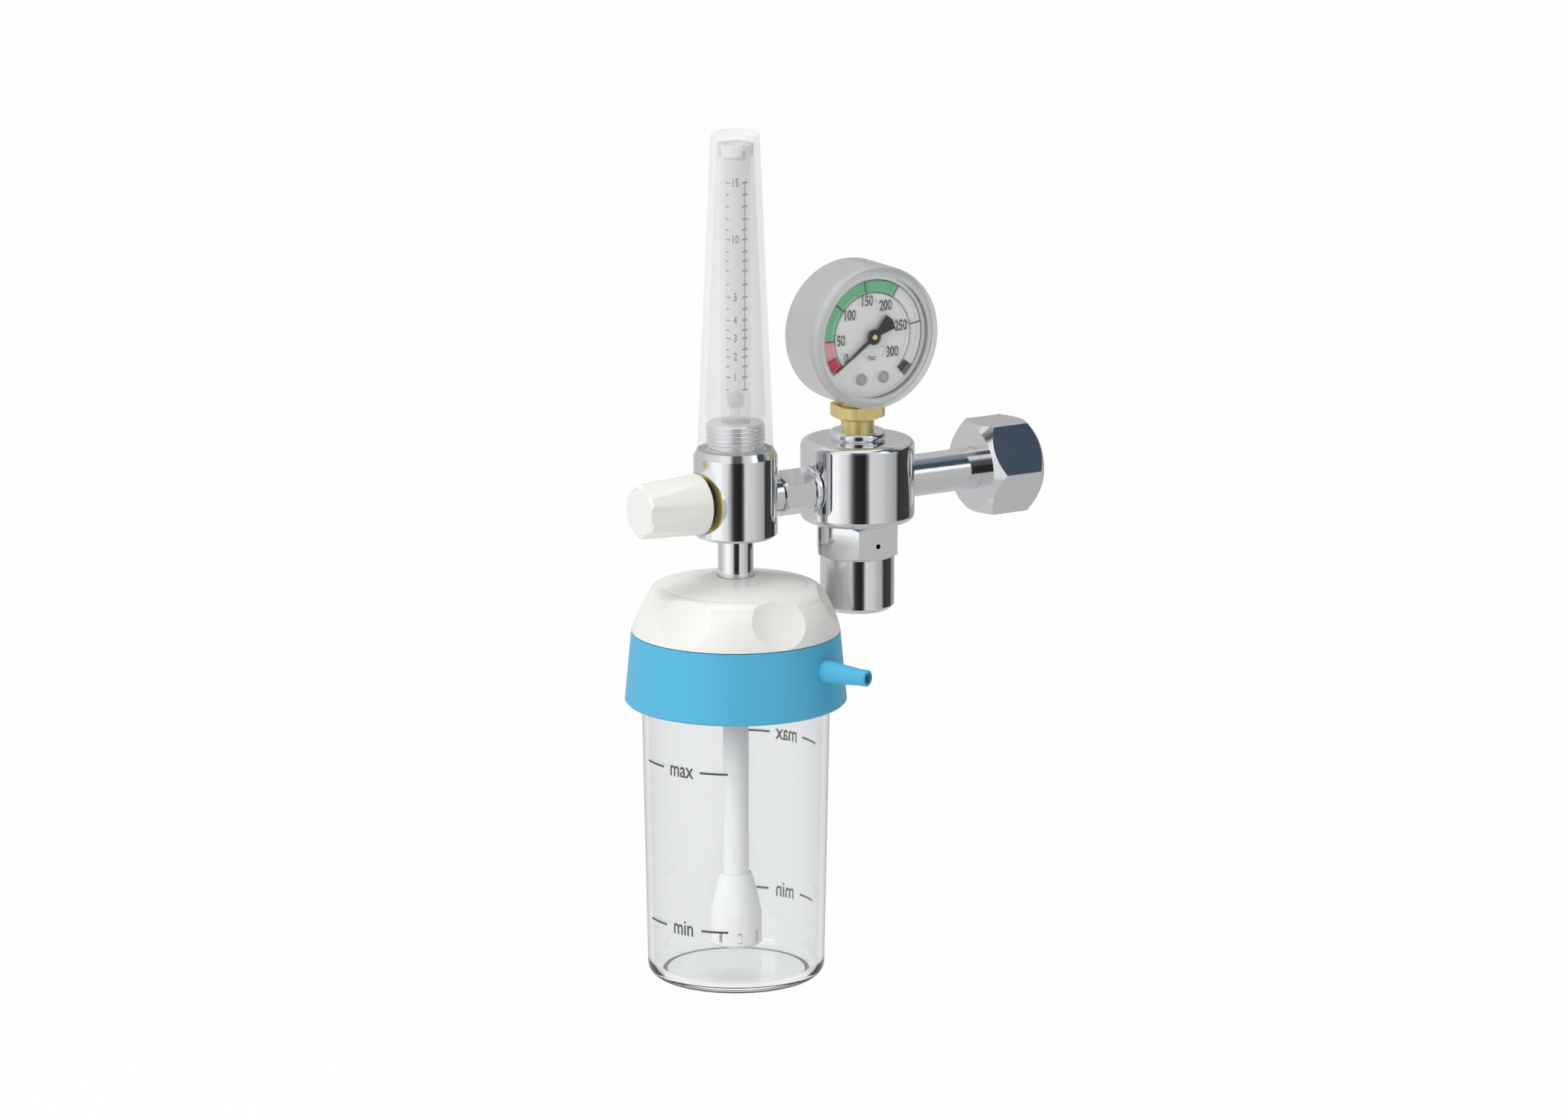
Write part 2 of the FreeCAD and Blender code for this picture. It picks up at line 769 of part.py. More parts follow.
def tooth_outline(teeth, count, first_angle):
    """Points of a gear rim: count teeth of a wheel of that many teeth, in its own plane."""
    pitch = gear_module * teeth / 2
    step = 2 * math.pi / teeth
    points = []
    for index in range(count):
        middle = math.radians(first_angle) + index * step
        for radius, share in ((pitch - 1.25 * gear_module, -0.40), (pitch, -0.225),
                              (pitch + 0.85 * gear_module, -0.11),
                              (pitch + 0.85 * gear_module, 0.11), (pitch, 0.225),
                              (pitch - 1.25 * gear_module, 0.40)):
            angle = middle + share * step
            points.append(Vector(radius * math.cos(angle), radius * math.sin(angle), 0))
    return points


sector_pitch_radius = gear_module * sector_teeth_in_full_circle / 2
pinion_pitch_radius = gear_module * pinion_teeth / 2
gear_centres = sector_pitch_radius + pinion_pitch_radius + gear_slack
sector_pivot = gauge + Vector(-gear_centres, 0, 0)
sector_swing = pointer_swing * pinion_teeth / sector_teeth_in_full_circle


def upright(shape, base):
    """Turn a flat shape from the XY plane to the XZ plane, rising towards -Y."""
    turned_shape = shape.copy()
    turned_shape.rotate(Vector(0, 0, 0), ALONG_X, 90)
    turned_shape.translate(base)
    return turned_shape


def pinion():
    points = tooth_outline(pinion_teeth, pinion_teeth, 180.0 / pinion_teeth)
    wheel = Part.Face(Part.makePolygon(points + points[:1])).extrude(UP * gear_thickness)
    wheel = upright(wheel, gauge + Vector(0, gear_front + gear_thickness, 0))
    arbor = rod(arbor_radius, -back_plate_front - plate_thickness, -pointer_pin_end, gauge,
                FORWARD)
    return wheel.fuse(arbor)


def sector_gear():
    tooth_step = 360.0 / sector_teeth_in_full_circle
    rest_angle = sector_swing / 2
    first = rest_angle - tooth_step * (sector_teeth - 2)
    last = first + tooth_step * (sector_teeth - 1)
    rim = tooth_outline(sector_teeth_in_full_circle, sector_teeth, first)
    inner = sector_pitch_radius - 3.2
    hub = 2.2
    low = polar(inner, first)
    high = polar(inner, last)
    tail_end = sector_tail + 1.0
    web = [polar(hub, 100), polar(hub, 140), polar(tail_end, 170), polar(tail_end, 190),
           polar(hub, 220), polar(hub, 260)]
    points = rim + [high, polar(inner, 18)] + web + [polar(inner, -18), low]
    face = Part.Face(Part.makePolygon(points + points[:1]))
    wheel = face.extrude(UP * gear_thickness)
    wheel.rotate(Vector(0, 0, 0), UP, -rest_angle)
    wheel = upright(wheel, sector_pivot + Vector(0, gear_front + gear_thickness, 0))
    arbor = rod(arbor_radius, -back_plate_front - plate_thickness,
                -front_plate_back + plate_thickness, sector_pivot, FORWARD)
    tail = polar(sector_tail, 180.0 - rest_angle)
    link_front = tube_spring_y - tube_spring_width / 2 - link_thickness
    pin = rod(sector_pin_radius, -link_front + running_fit, -gear_front,
              sector_pivot + Vector(tail.x, 0, tail.y), FORWARD)
    return wheel.fuse([arbor, pin])


def movement_plate(with_leg):
    left = -gear_centres - plate_margin
    leg_end = plate_foot_low
    if with_leg:
        leg_end = gauge_height - socket_top + plate_leg_length
    points = [(left, -plate_left_half), (left, plate_left_half), (-plate_top_start, plate_top),
              (plate_right, plate_top), (plate_right, -plate_low),
              (plate_foot_half, -plate_foot_low), (plate_foot_half, -leg_end - 0.1),
              (-plate_foot_half, -leg_end - 0.1), (-plate_foot_half, -plate_foot_low),
              (-plate_waist, -plate_waist_low)]
    corners = [Vector(x, z, 0) for x, z in points]
    plate = Part.Face(Part.makePolygon(corners + corners[:1])).extrude(UP * plate_thickness)
    for x in (0, -gear_centres):
        plate = plate.cut(rod(arbor_radius + running_fit, -1, 2, Vector(x, 0, 0)))
    return plate


def pillar_places():
    return [Vector(pillar_x, pillar_high, 0), Vector(pillar_x, -pillar_low, 0)]


def movement_back_plate():
    return upright(movement_plate(True), gauge + Vector(0, back_plate_front + plate_thickness, 0))


def movement_front_plate():
    plate = movement_plate(False)
    pillar_length = back_plate_front - front_plate_back
    for spot in pillar_places():
        plate = plate.fuse(rod(pillar_radius, -pillar_length, 0.2, spot))
    return upright(plate, gauge + Vector(0, front_plate_back, 0))


def movement_screws():
    screws = []
    for depth in (movement_screw_upper, movement_screw_lower):
        centre = regulator + Vector(0, 0, socket_top - depth)
        head_top = -back_plate_front + movement_screw_height
        screws.append(rod(movement_screw_radius, -back_plate_front, head_top, centre, FORWARD))
    return Part.makeCompound(screws)


def tube_tip_link():
    tip = polar(tube_spring_radius, tube_spring_end)
    tail = Vector(-gear_centres, 0, 0) + polar(sector_tail, 180.0 - sector_swing / 2)
    along = tail - tip
    along.normalize()
    across = Vector(-along.y, along.x, 0) * 0.9
    corners = [tip - across, tip + across, tail + across, tail - across]
    bar = Part.Face(Part.makePolygon(corners + corners[:1])).extrude(UP * link_thickness)
    bar = bar.fuse(rod(1.4, 0, link_thickness, tip)).fuse(rod(1.2, 0, link_thickness, tail))
    link_y = tube_spring_y - tube_spring_width / 2
    return upright(bar, gauge + Vector(0, link_y, 0)).removeSplitter()


def pointer():
    right = [(pointer_tip_half, pointer_length), (pointer_neck_half, pointer_length * 0.6),
             (pointer_root_half, pointer_hub_radius * 0.8),
             (pointer_tail_neck_half, -pointer_hub_radius * 0.8),
             (pointer_tail_half, -pointer_tail_side),
             (pointer_tail_half * 0.55, -pointer_tail + 0.45)]
    left = [(-x, z) for x, z in reversed(right)]
    points = [Vector(x, z, 0) for x, z in right + [(0, -pointer_tail)] + left]
    blade = Part.Face(Part.makePolygon(points + points[:1])).extrude(UP * pointer_thickness)
    hub = turned([(0, -0.5), (pointer_hub_radius * 0.6, -0.5), (pointer_hub_radius * 0.6, 0),
                  (pointer_hub_radius, 0), (pointer_hub_radius, pointer_thickness + 0.1),
                  (pointer_hub_radius * 0.8, pointer_thickness + 0.3),
                  (0, pointer_thickness + 0.3)])
    solid = blade.fuse(hub).cut(rod(arbor_radius + fixed_fit, -1, 2))
    solid.rotate(Vector(0, 0, 0), UP, pointer_swing / 2)
    return upright(solid, gauge + Vector(0, pointer_front + pointer_thickness, 0))


# Flow body and valve
def flow_body():
    body_straight = flow_top - flow_top_chamfer
    outline = [(0, flow_bottom), (flow_radius - flow_bottom_chamfer, flow_bottom),
               (flow_radius, flow_bottom + flow_bottom_chamfer), (flow_radius, body_straight),
               (flow_radius - flow_top_chamfer_width, flow_top), (flow_spigot_radius, flow_top),
               (flow_spigot_radius, flow_spigot_end - 0.6),
               (flow_spigot_radius - 0.6, flow_spigot_end), (0, flow_spigot_end)]
    solid = turned(outline, flow)
    boss = rod(gland_flange_radius, gland_flange_inner_x, gland_socket_x, flow, ALONG_X)
    solid = solid.fuse(boss)
    flange_hole = gland_flange_radius + fixed_fit
    groove = seal_section + 0.1
    cuts = [
        rod(tube_socket_radius, tube_socket_floor, flow_spigot_end + 1, flow),
        rod(tube_radius + 2 * seal_section + 0.1, tube_seal_z - groove, tube_seal_z + groove, flow),
        rod(tube_feed_radius, 0, tube_socket_floor + 1, flow + Vector(tube_feed_x, 0, 0)),
        rod(return_radius, return_level, flow_spigot_end + 1, flow + Vector(0, return_offset, 0)),
        rod(return_radius, 0, return_offset, flow + Vector(0, 0, return_level), ALONG_Y),
        rod(outlet_stem_bore, flow_bottom, return_level + return_radius, flow),
        rod(outlet_thread_radius + fixed_fit, flow_bottom - 1, outlet_thread_end, flow),
        rod(connector_radius + fixed_fit, connector_thread_start, flow_radius, flow, ALONG_X),
        rod(connector_collar_radius + fixed_fit, connector_collar_start, flow_radius + 1, flow,
            ALONG_X),
        rod(connector_bore_radius, valve_seat_x, flow_radius, flow, ALONG_X),
        rod(valve_seat_radius, valve_chamber_x, 0, flow, ALONG_X),
        rod(valve_chamber_radius, gland_socket_x - 1, valve_chamber_x, flow, ALONG_X),
        rod(gland_thread_radius + fixed_fit, -flow_radius, gland_socket_x, flow, ALONG_X),
        rod(flange_hole, -flow_radius - 1, gland_flange_inner_x, flow, ALONG_X),
        turned([(cover_seal_radius - groove, flow_top - 2 * groove),
                (cover_seal_radius + groove, flow_top - 2 * groove),
                (cover_seal_radius + groove, flow_top + 0.5),
                (cover_seal_radius - groove, flow_top + 0.5)], flow),
    ]
    for cutter in cuts:
        solid = solid.cut(cutter)
    return solid


def valve_gland():
    flange_outer_x = gland_flange_inner_x - gland_flange_thickness
    outline = [(gland_chamber_radius, gland_socket_x), (gland_thread_radius, gland_socket_x),
               (gland_thread_radius, gland_flange_inner_x),
               (gland_flange_radius, gland_flange_inner_x), (gland_flange_radius, flange_outer_x),
               (gland_neck_radius, flange_outer_x), (gland_neck_radius, gland_neck_end),
               (spindle_radius + running_fit, gland_neck_end),
               (spindle_radius + running_fit, gland_chamber_end),
               (gland_chamber_radius, gland_chamber_end)]
    return turned(outline, flow, ALONG_X)


def gland_washer():
    inner_face = gland_flange_inner_x - gland_flange_thickness
    outer_face = inner_face - gland_washer_thickness
    inner = gland_neck_radius + fixed_fit
    outline = [(inner, inner_face), (gland_washer_radius, inner_face),
               (gland_washer_radius, outer_face + 0.5), (gland_washer_radius - 0.5, outer_face),
               (inner, outer_face)]
    return turned(outline, flow, ALONG_X)


def needle_spindle():
    collar_end = spindle_collar_start - spindle_collar_length
    collar_radius = gland_chamber_radius - running_fit
    screw_hole = knob_screw_shank_radius + fixed_fit
    outline = [(0, needle_tip_x), (needle_tip_radius, needle_tip_x),
               (needle_base_radius, needle_base_x), (spindle_radius, needle_base_x - 0.5),
               (spindle_radius, spindle_collar_start), (collar_radius, spindle_collar_start),
               (collar_radius, collar_end), (spindle_radius, collar_end),
               (spindle_radius, spindle_end), (screw_hole, spindle_end),
               (screw_hole, spindle_end + knob_screw_length), (0, spindle_end + knob_screw_length)]
    return turned(outline, flow, ALONG_X)


def spindle_seal():
    collar_end = spindle_collar_start - spindle_collar_length
    middle = collar_end - seal_section - 0.05
    major = (spindle_radius + gland_chamber_radius) / 2
    return ring(major, seal_section, middle, flow, ALONG_X)


knob_face_x = knob_base_x - knob_length
knob_recess_x = knob_face_x + knob_cap_thickness


def flow_knob():
    recess = knob_cap_radius + fixed_fit
    floor_x = knob_face_x + knob_front_wall
    cavity_face_radius = knob_face_radius - knob_wall - flute_depth
    cavity_base_radius = knob_base_radius - knob_wall
    hub_bore = spindle_radius + fixed_fit
    head_bore = knob_screw_head_radius + fixed_fit
    head_floor = knob_recess_x + knob_screw_head_height + seat_gap
    spindle_floor = spindle_end
    shank_bore = knob_screw_shank_radius + fixed_fit
    outline = [(cavity_base_radius, knob_base_x), (knob_base_radius - 0.6, knob_base_x),
               (knob_base_radius, knob_base_x - 0.6), (knob_face_radius, knob_face_x + 0.8),
               (knob_face_radius - 0.8, knob_face_x), (recess, knob_face_x),
               (recess, knob_recess_x), (head_bore, knob_recess_x), (head_bore, head_floor),
               (shank_bore, head_floor), (shank_bore, spindle_floor), (hub_bore, spindle_floor),
               (hub_bore, knob_hub_start), (knob_hub_radius, knob_hub_start),
               (knob_hub_radius, floor_x), (cavity_face_radius, floor_x)]
    solid = turned(outline, flow, ALONG_X)
    taper = math.atan2(knob_base_radius - knob_face_radius, knob_length)
    lean = taper + math.atan2(flute_depth, knob_length * 0.8)
    for index in range(knob_flutes):
        angle = 360.0 / knob_flutes * (index + 0.5)
        cutter = Part.makeCylinder(flute_radius, knob_length * 2,
                                   Vector(0, 0, -knob_length), UP)
        cutter = place(cutter, ALONG_X, Vector(0, 0, 0))
        cutter.rotate(Vector(0, 0, 0), FORWARD, math.degrees(lean))
        cutter.translate(Vector(knob_face_x, 0, knob_face_radius - flute_depth + flute_radius))
        cutter.rotate(Vector(0, 0, 0), ALONG_X, angle)
        cutter.translate(flow)
        solid = solid.cut(cutter)
    return solid


def knob_cap():
    return rod(knob_cap_radius, knob_face_x, knob_recess_x, flow, ALONG_X)


def knob_screw():
    head_floor = knob_recess_x + knob_screw_head_height + seat_gap
    head_face = knob_recess_x + seat_gap
    tip = spindle_end + knob_screw_length - seat_gap
    outline = [(0, tip), (knob_screw_shank_radius, tip), (knob_screw_shank_radius, head_floor),
               (knob_screw_head_radius, head_floor), (knob_screw_head_radius, head_face + 0.3),
               (knob_screw_head_radius - 0.5, head_face), (0, head_face)]
    return turned(outline, flow, ALONG_X)


# Flow tube
def metering_tube():
    outline = [(tube_feed_bore, tube_bottom), (tube_radius, tube_bottom),
               (tube_radius, tube_top), (tube_bore_high, tube_top),
               (tube_bore_low, tube_floor), (tube_feed_bore, tube_floor)]
    return turned(outline, flow)


ball_rest_z = tube_floor + math.sqrt(ball_radius ** 2 - tube_feed_bore ** 2) + 0.05


def float_ball():
    return place(Part.makeSphere(ball_radius), UP, flow + Vector(0, 0, ball_rest_z))


def bore_radius_at(z):
    """Radius of the tapered bore of the metering tube at height z."""
    share = (z - tube_floor) / (tube_top - tube_floor)
    return tube_bore_low + share * (tube_bore_high - tube_bore_low)


def ball_stop():
    bottom = tube_top - ball_stop_height
    outer = bore_radius_at(bottom) - fixed_fit
    outline = [(ball_stop_hole, bottom), (outer, bottom), (outer, tube_top),
               (ball_stop_hole, tube_top)]
    return turned(outline, flow)


def tube_spacer():
    bottom = tube_top - spacer_height / 2
    top = cover_top - cover_top_wall
    outer = cover_inner_radius(top) - fixed_fit
    inner = tube_radius + fixed_fit
    outline = [(inner, bottom), (outer, bottom), (outer, top), (inner - 1.0, top),
               (inner - 1.0, tube_top + fixed_fit), (inner, tube_top + fixed_fit)]
    solid = turned(outline, flow)
    for index in range(4):
        gap = Part.makeBox(2 * outer, 2.0, top - bottom, Vector(inner - 0.2, -1.0, bottom))
        gap.rotate(Vector(0, 0, 0), UP, 90.0 * index)
        gap.translate(flow)
        solid = solid.cut(gap)
    return solid


def tube_seal():
    return ring(tube_radius + seal_section + 0.03, seal_section, tube_seal_z, flow)


def cover_seal():
    return ring(cover_seal_radius, seal_section, flow_top - seal_section - 0.03, flow)


def cover_outer_radius(z):
    """Radius of the outside of the tapered cover at height z."""
    share = (z - flow_top) / (cover_top - flow_top)
    return cover_base_radius + share * (cover_top_radius - cover_base_radius)


def cover_inner_radius(z):
    """Radius of the inside of the tapered cover at height z."""
    return cover_outer_radius(z) - cover_wall


def tube_cover():
    cavity_top = cover_top - cover_top_wall
    thread = flow_spigot_radius + fixed_fit
    outline = [(thread, flow_top), (cover_base_radius, flow_top), (cover_top_radius, cover_top),
               (0, cover_top), (0, cavity_top), (cover_inner_radius(cavity_top), cavity_top),
               (cover_inner_radius(cover_shoulder_z), cover_shoulder_z),
               (thread, cover_thread_top)]
    solid = turned(outline, flow)
    return rounded(solid, cover_top_round,
                   lambda edge: circle_edge(edge, cover_top_radius, cover_top, 2))


def outlet_stem():
    thread_top = outlet_thread_end - seat_gap
    outline = [(outlet_stem_bore, outlet_stem_end), (outlet_stem_radius - 0.5, outlet_stem_end),
               (outlet_stem_radius, outlet_stem_end + 0.5), (outlet_stem_radius, flow_bottom),
               (outlet_thread_radius, flow_bottom), (outlet_thread_radius, thread_top),
               (outlet_stem_bore, thread_top)]
    return turned(outline, flow)


# Humidifier
def hand_nut():
    bottom = lid_top + seat_gap
    bore = outlet_stem_radius + running_fit
    roof = humidifier_top - dome_wall
    disc_radius = dome_base_radius - dome_disc_inset
    outline = [(dome_base_radius - dome_wall, bottom), (dome_base_radius, bottom),
               (dome_base_radius - dome_side_inset, humidifier_top - dome_side_drop,
                dome_base_radius - dome_shoulder_inset, humidifier_top - dome_shoulder_drop),
               (dome_base_radius - dome_turn_inset, humidifier_top - dome_turn_drop,
                dome_base_radius - dome_rim_inset, humidifier_top - dome_rim_drop),
               (disc_radius, humidifier_top - dome_lip_drop),
               (disc_radius - dome_lip_width, humidifier_top),
               ((disc_radius + bore) / 2, humidifier_top + dome_crown * 0.56,
                bore + dome_mouth, humidifier_top + dome_crown),
               (bore, humidifier_top + dome_crown - dome_mouth), (bore, dome_lip_top),
               (dome_lip_radius, dome_lip_top),
               (dome_lip_radius, dome_hub_end), (dome_hub_radius, dome_hub_end),
               (dome_hub_radius, roof),
               (dome_base_radius - dome_roof_inset, humidifier_top - dome_roof_drop),
               (dome_base_radius - dome_cheek_inset, humidifier_top - dome_cheek_drop,
                dome_base_radius - dome_skirt_inset, bottom + dome_skirt_rise)]
    solid = turned(outline, flow)
    lean = math.radians(scallop_lean)
    spot_radius = dome_base_radius - scallop_spot_inset
    reach = spot_radius + (scallop_radius - scallop_depth) * math.cos(lean)
    spot_z = humidifier_top - scallop_spot_drop
    centre_z = spot_z + (scallop_radius - scallop_depth) * math.sin(lean)
    for index in range(scallops):
        centre = polar(reach, scallop_first_angle + 360.0 / scallops * index, centre_z)
        solid = solid.cut(Part.makeSphere(scallop_radius, flow + centre))
    return solid


def outlet_seal():
    bottom = outlet_stem_end - outlet_seal_thickness
    outline = [(outlet_stem_bore, bottom), (inlet_flange_radius, bottom),
               (inlet_flange_radius, outlet_stem_end), (outlet_stem_bore, outlet_stem_end)]
    return turned(outline, flow)


flange_top = outlet_stem_end - outlet_seal_thickness
flange_bottom = flange_top - inlet_flange_thickness


def humidifier_inlet():
    plate_bottom = lid_top - lid_plate
    shoulder_top = dome_hub_end - seat_gap
    outline = [(inlet_bore_radius, inlet_spigot_end), (inlet_spigot_radius, inlet_spigot_end),
               (inlet_spigot_radius, plate_bottom), (inlet_neck_radius, plate_bottom),
               (inlet_neck_radius, lid_top), (inlet_shoulder_radius, lid_top),
               (inlet_shoulder_radius, shoulder_top), (inlet_neck_radius, shoulder_top),
               (inlet_neck_radius, flange_bottom), (inlet_flange_radius, flange_bottom),
               (inlet_flange_radius, flange_top), (inlet_bore_radius, flange_top)]
    return turned(outline, flow)


def humidifier_lid():
    plate_bottom = lid_top - lid_plate
    skirt_inner = jar_shoulder_radius + jar_lid_gap
    seat_flange = 2.2
    outer = [(inlet_neck_radius + fixed_fit, lid_top), (lid_top_radius, lid_top),
             (lid_bottom_radius, lid_bottom + lid_edge_round),
             (lid_bottom_radius - lid_edge_round, lid_bottom),
             (lid_bottom_radius - lid_wall, lid_bottom),
             (lid_top_radius - lid_wall, plate_bottom),
             (lid_seat_inner_radius + lid_seat_wall, plate_bottom),
             (lid_seat_inner_radius + lid_seat_wall, lid_seat_z + seat_flange),
             (skirt_inner + lid_skirt_wall, lid_seat_z + seat_flange),
             (skirt_inner + lid_skirt_wall, lid_skirt_end), (skirt_inner, lid_skirt_end),
             (skirt_inner, lid_seat_z), (lid_seat_inner_radius, lid_seat_z),
             (lid_seat_inner_radius, plate_bottom), (inlet_neck_radius + fixed_fit, plate_bottom)]
    solid = turned(outer, flow)
    direction = polar(1, nozzle_angle)
    base = flow + Vector(0, 0, nozzle_z)
    root = lid_top_radius - lid_wall / 2
    tip_start = nozzle_reach - nozzle_tip_length
    outside = turned([(0, root), (nozzle_root_radius, root), (nozzle_root_radius, root + 2.5),
                      (nozzle_tip_radius, tip_start), (nozzle_tip_radius, nozzle_reach - 0.3),
                      (nozzle_tip_radius - 0.3, nozzle_reach), (0, nozzle_reach)],
                     base, direction)
    boss = rod(nozzle_boss_radius, lid_seat_inner_radius + 1, root + 1, base, direction)
    bore = rod(nozzle_bore_radius, lid_seat_inner_radius - 4, nozzle_reach + 1, base, direction)
    return solid.fuse([outside, boss]).cut(bore).removeSplitter()


def jar_gasket():
    bottom = lid_seat_z - jar_gasket_thickness
    outer = jar_shoulder_radius
    inner = jar_shoulder_radius - jar_wall - 0.6
    outline = [(inner, bottom), (outer, bottom), (outer, lid_seat_z), (inner, lid_seat_z)]
    return turned(outline, flow)


def jar():
    rim = lid_seat_z - jar_gasket_thickness - 0.05
    inner_foot = jar_foot_radius - jar_wall
    inner_top = jar_shoulder_radius - jar_wall
    floor = jar_bottom + jar_floor
    knee = 1 - math.sqrt(0.5)
    inner_corner = jar_inner_corner
    foot = jar_foot_radius - jar_corner
    outline = [(0, jar_bottom + jar_foot_recess),
               (foot - jar_foot_slope, jar_bottom + jar_foot_recess),
               (jar_foot_radius - jar_corner, jar_bottom),
               (jar_foot_radius - jar_corner * knee, jar_bottom + jar_corner * knee,
                jar_foot_radius, jar_bottom + jar_corner),
               (jar_shoulder_radius, lid_bottom), (jar_shoulder_radius, rim), (inner_top, rim),
               (inner_top, lid_bottom), (inner_foot, floor + inner_corner),
               (inner_foot - inner_corner * knee, floor + inner_corner * knee,
                inner_foot - inner_corner, floor),
               (0, floor + jar_floor_crown)]
    return turned(outline, flow)


def diffuser_tube():
    top = lid_top - lid_plate
    collar_bottom = top - diffuser_collar_height
    outline = [(diffuser_bore_radius, diffuser_end), (diffuser_radius, diffuser_end),
               (diffuser_radius, collar_bottom), (diffuser_collar_radius, collar_bottom),
               (diffuser_collar_radius, top), (diffuser_bore_radius, top)]
    return turned(outline, flow)


def diffuser_bell():
    socket = diffuser_radius + fixed_fit
    inner = bell_radius - bell_wall
    neck = diffuser_radius + bell_neck_wall
    outline = [(socket, diffuser_end), (diffuser_bore_radius, diffuser_end),
               (diffuser_bore_radius, diffuser_end - bell_funnel_start), (inner, bell_wide_z),
               (inner, bell_bottom), (bell_radius - bell_edge_round, bell_bottom),
               (bell_radius, bell_bottom + bell_edge_round), (bell_radius, bell_wide_z),
               ((bell_radius + neck) / 2 + bell_bulge, (bell_wide_z + bell_top) / 2,
                neck, bell_top), (socket, bell_top)]
    solid = turned(outline, flow)
    for index in range(bell_slots):
        slot = Part.makeBox(2 * bell_radius, bell_slot_width, bell_slot_height,
                            Vector(inner - 1, -bell_slot_width / 2, bell_bottom + bell_slot_rise))
        slot.rotate(Vector(0, 0, 0), UP, 360.0 / bell_slots * (index + 0.5))
        slot.translate(flow)
        solid = solid.cut(slot)
    return solid


PIECES = [
    inlet_nut, inlet_stem, inlet_seal, inlet_filter,
    regulator_body, bonnet, piston, seat_pad, piston_head_seal, piston_stem_seal, main_spring,
    connector_nipple, connector_nut, connector_washer,
    gauge_collar, gauge_stem, gauge_case, gauge_lens, dial, dial_studs, tube_spring, pinion,
    sector_gear, movement_back_plate, movement_front_plate, movement_screws, tube_tip_link,
    pointer,
    flow_body, valve_gland, gland_washer, needle_spindle, spindle_seal, flow_knob, knob_cap,
    knob_screw, metering_tube, float_ball, ball_stop, tube_spacer, tube_seal, cover_seal,
    tube_cover, outlet_stem,
    hand_nut, outlet_seal, humidifier_inlet, humidifier_lid, jar_gasket, jar, diffuser_tube,
    diffuser_bell,
]

os.makedirs("parts", exist_ok=True)
for piece in PIECES:
    piece().exportStep("parts/" + piece.__name__ + ".step")
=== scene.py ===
"""The finished look of an oxygen flowmeter with its regulator, gauge and humidifier bottle.

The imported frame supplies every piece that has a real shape. This script gives each of them its
finish, models the threads and the printed scales, and sets up the floor, the light and the camera.
"""

from __future__ import annotations

import json
import logging
import math
from collections.abc import Callable, Mapping, Sequence
from dataclasses import dataclass, field, replace
from enum import Enum
from typing import Any

import bmesh
import bpy
from mathutils import Matrix, Vector

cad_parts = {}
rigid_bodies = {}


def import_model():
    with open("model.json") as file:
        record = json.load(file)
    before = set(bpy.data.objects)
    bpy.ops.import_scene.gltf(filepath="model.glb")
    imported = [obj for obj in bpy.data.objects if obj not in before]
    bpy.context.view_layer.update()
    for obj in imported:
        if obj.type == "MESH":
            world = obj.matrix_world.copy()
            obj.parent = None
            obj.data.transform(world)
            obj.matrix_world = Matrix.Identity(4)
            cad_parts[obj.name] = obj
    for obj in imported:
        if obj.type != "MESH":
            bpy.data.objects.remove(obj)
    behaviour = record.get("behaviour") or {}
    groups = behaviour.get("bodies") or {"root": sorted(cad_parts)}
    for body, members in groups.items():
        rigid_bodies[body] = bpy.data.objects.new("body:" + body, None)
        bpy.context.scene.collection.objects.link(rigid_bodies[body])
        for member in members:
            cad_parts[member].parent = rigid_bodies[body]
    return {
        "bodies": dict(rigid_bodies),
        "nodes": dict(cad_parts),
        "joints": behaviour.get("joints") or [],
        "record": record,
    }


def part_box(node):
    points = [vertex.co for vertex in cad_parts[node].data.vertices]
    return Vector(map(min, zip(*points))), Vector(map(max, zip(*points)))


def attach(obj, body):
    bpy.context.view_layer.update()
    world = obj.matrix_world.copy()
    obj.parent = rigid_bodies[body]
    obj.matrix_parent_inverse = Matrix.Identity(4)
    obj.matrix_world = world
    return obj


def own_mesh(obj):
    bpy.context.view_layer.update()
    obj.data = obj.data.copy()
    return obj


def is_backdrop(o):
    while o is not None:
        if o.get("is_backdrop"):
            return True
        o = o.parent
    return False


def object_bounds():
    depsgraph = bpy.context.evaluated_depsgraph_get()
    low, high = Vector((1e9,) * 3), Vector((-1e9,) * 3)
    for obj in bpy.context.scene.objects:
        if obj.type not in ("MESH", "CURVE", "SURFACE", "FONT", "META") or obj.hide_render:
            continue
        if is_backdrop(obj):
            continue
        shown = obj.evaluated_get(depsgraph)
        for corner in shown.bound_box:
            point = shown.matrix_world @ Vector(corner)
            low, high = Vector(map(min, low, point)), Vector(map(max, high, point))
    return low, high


log = logging.getLogger("flowmeter")

MM = 0.001
PRINT_LIFT = 0.01 * MM
SHARP_DEGREES = 35.0
BEND_DEGREES = 4.0
RING_DEGREES = 3.0
LETTER_STEPS = 3
LETTER_WELD = 0.00001
FINE = 3.0
FINEST = 4.0
THREAD_FOOT = 0.42
THREAD_CREST = 0.07
Colour = tuple[float, float, float]
Place = tuple[float, float, float]
Setting = Mapping[str, Any]


class Body(str, Enum):
    """Bodies of the frame that new pieces ride on."""

    REGULATOR = "regulator"
    NUT = "inlet_nut"
    JAR = "jar"


class Slot(str, Enum):
    """Material slots of the record that the finishes of new pieces stand for."""

    CHROME = "chrome"
    INK = "black_paint"
    DIAL = "dial_paint"


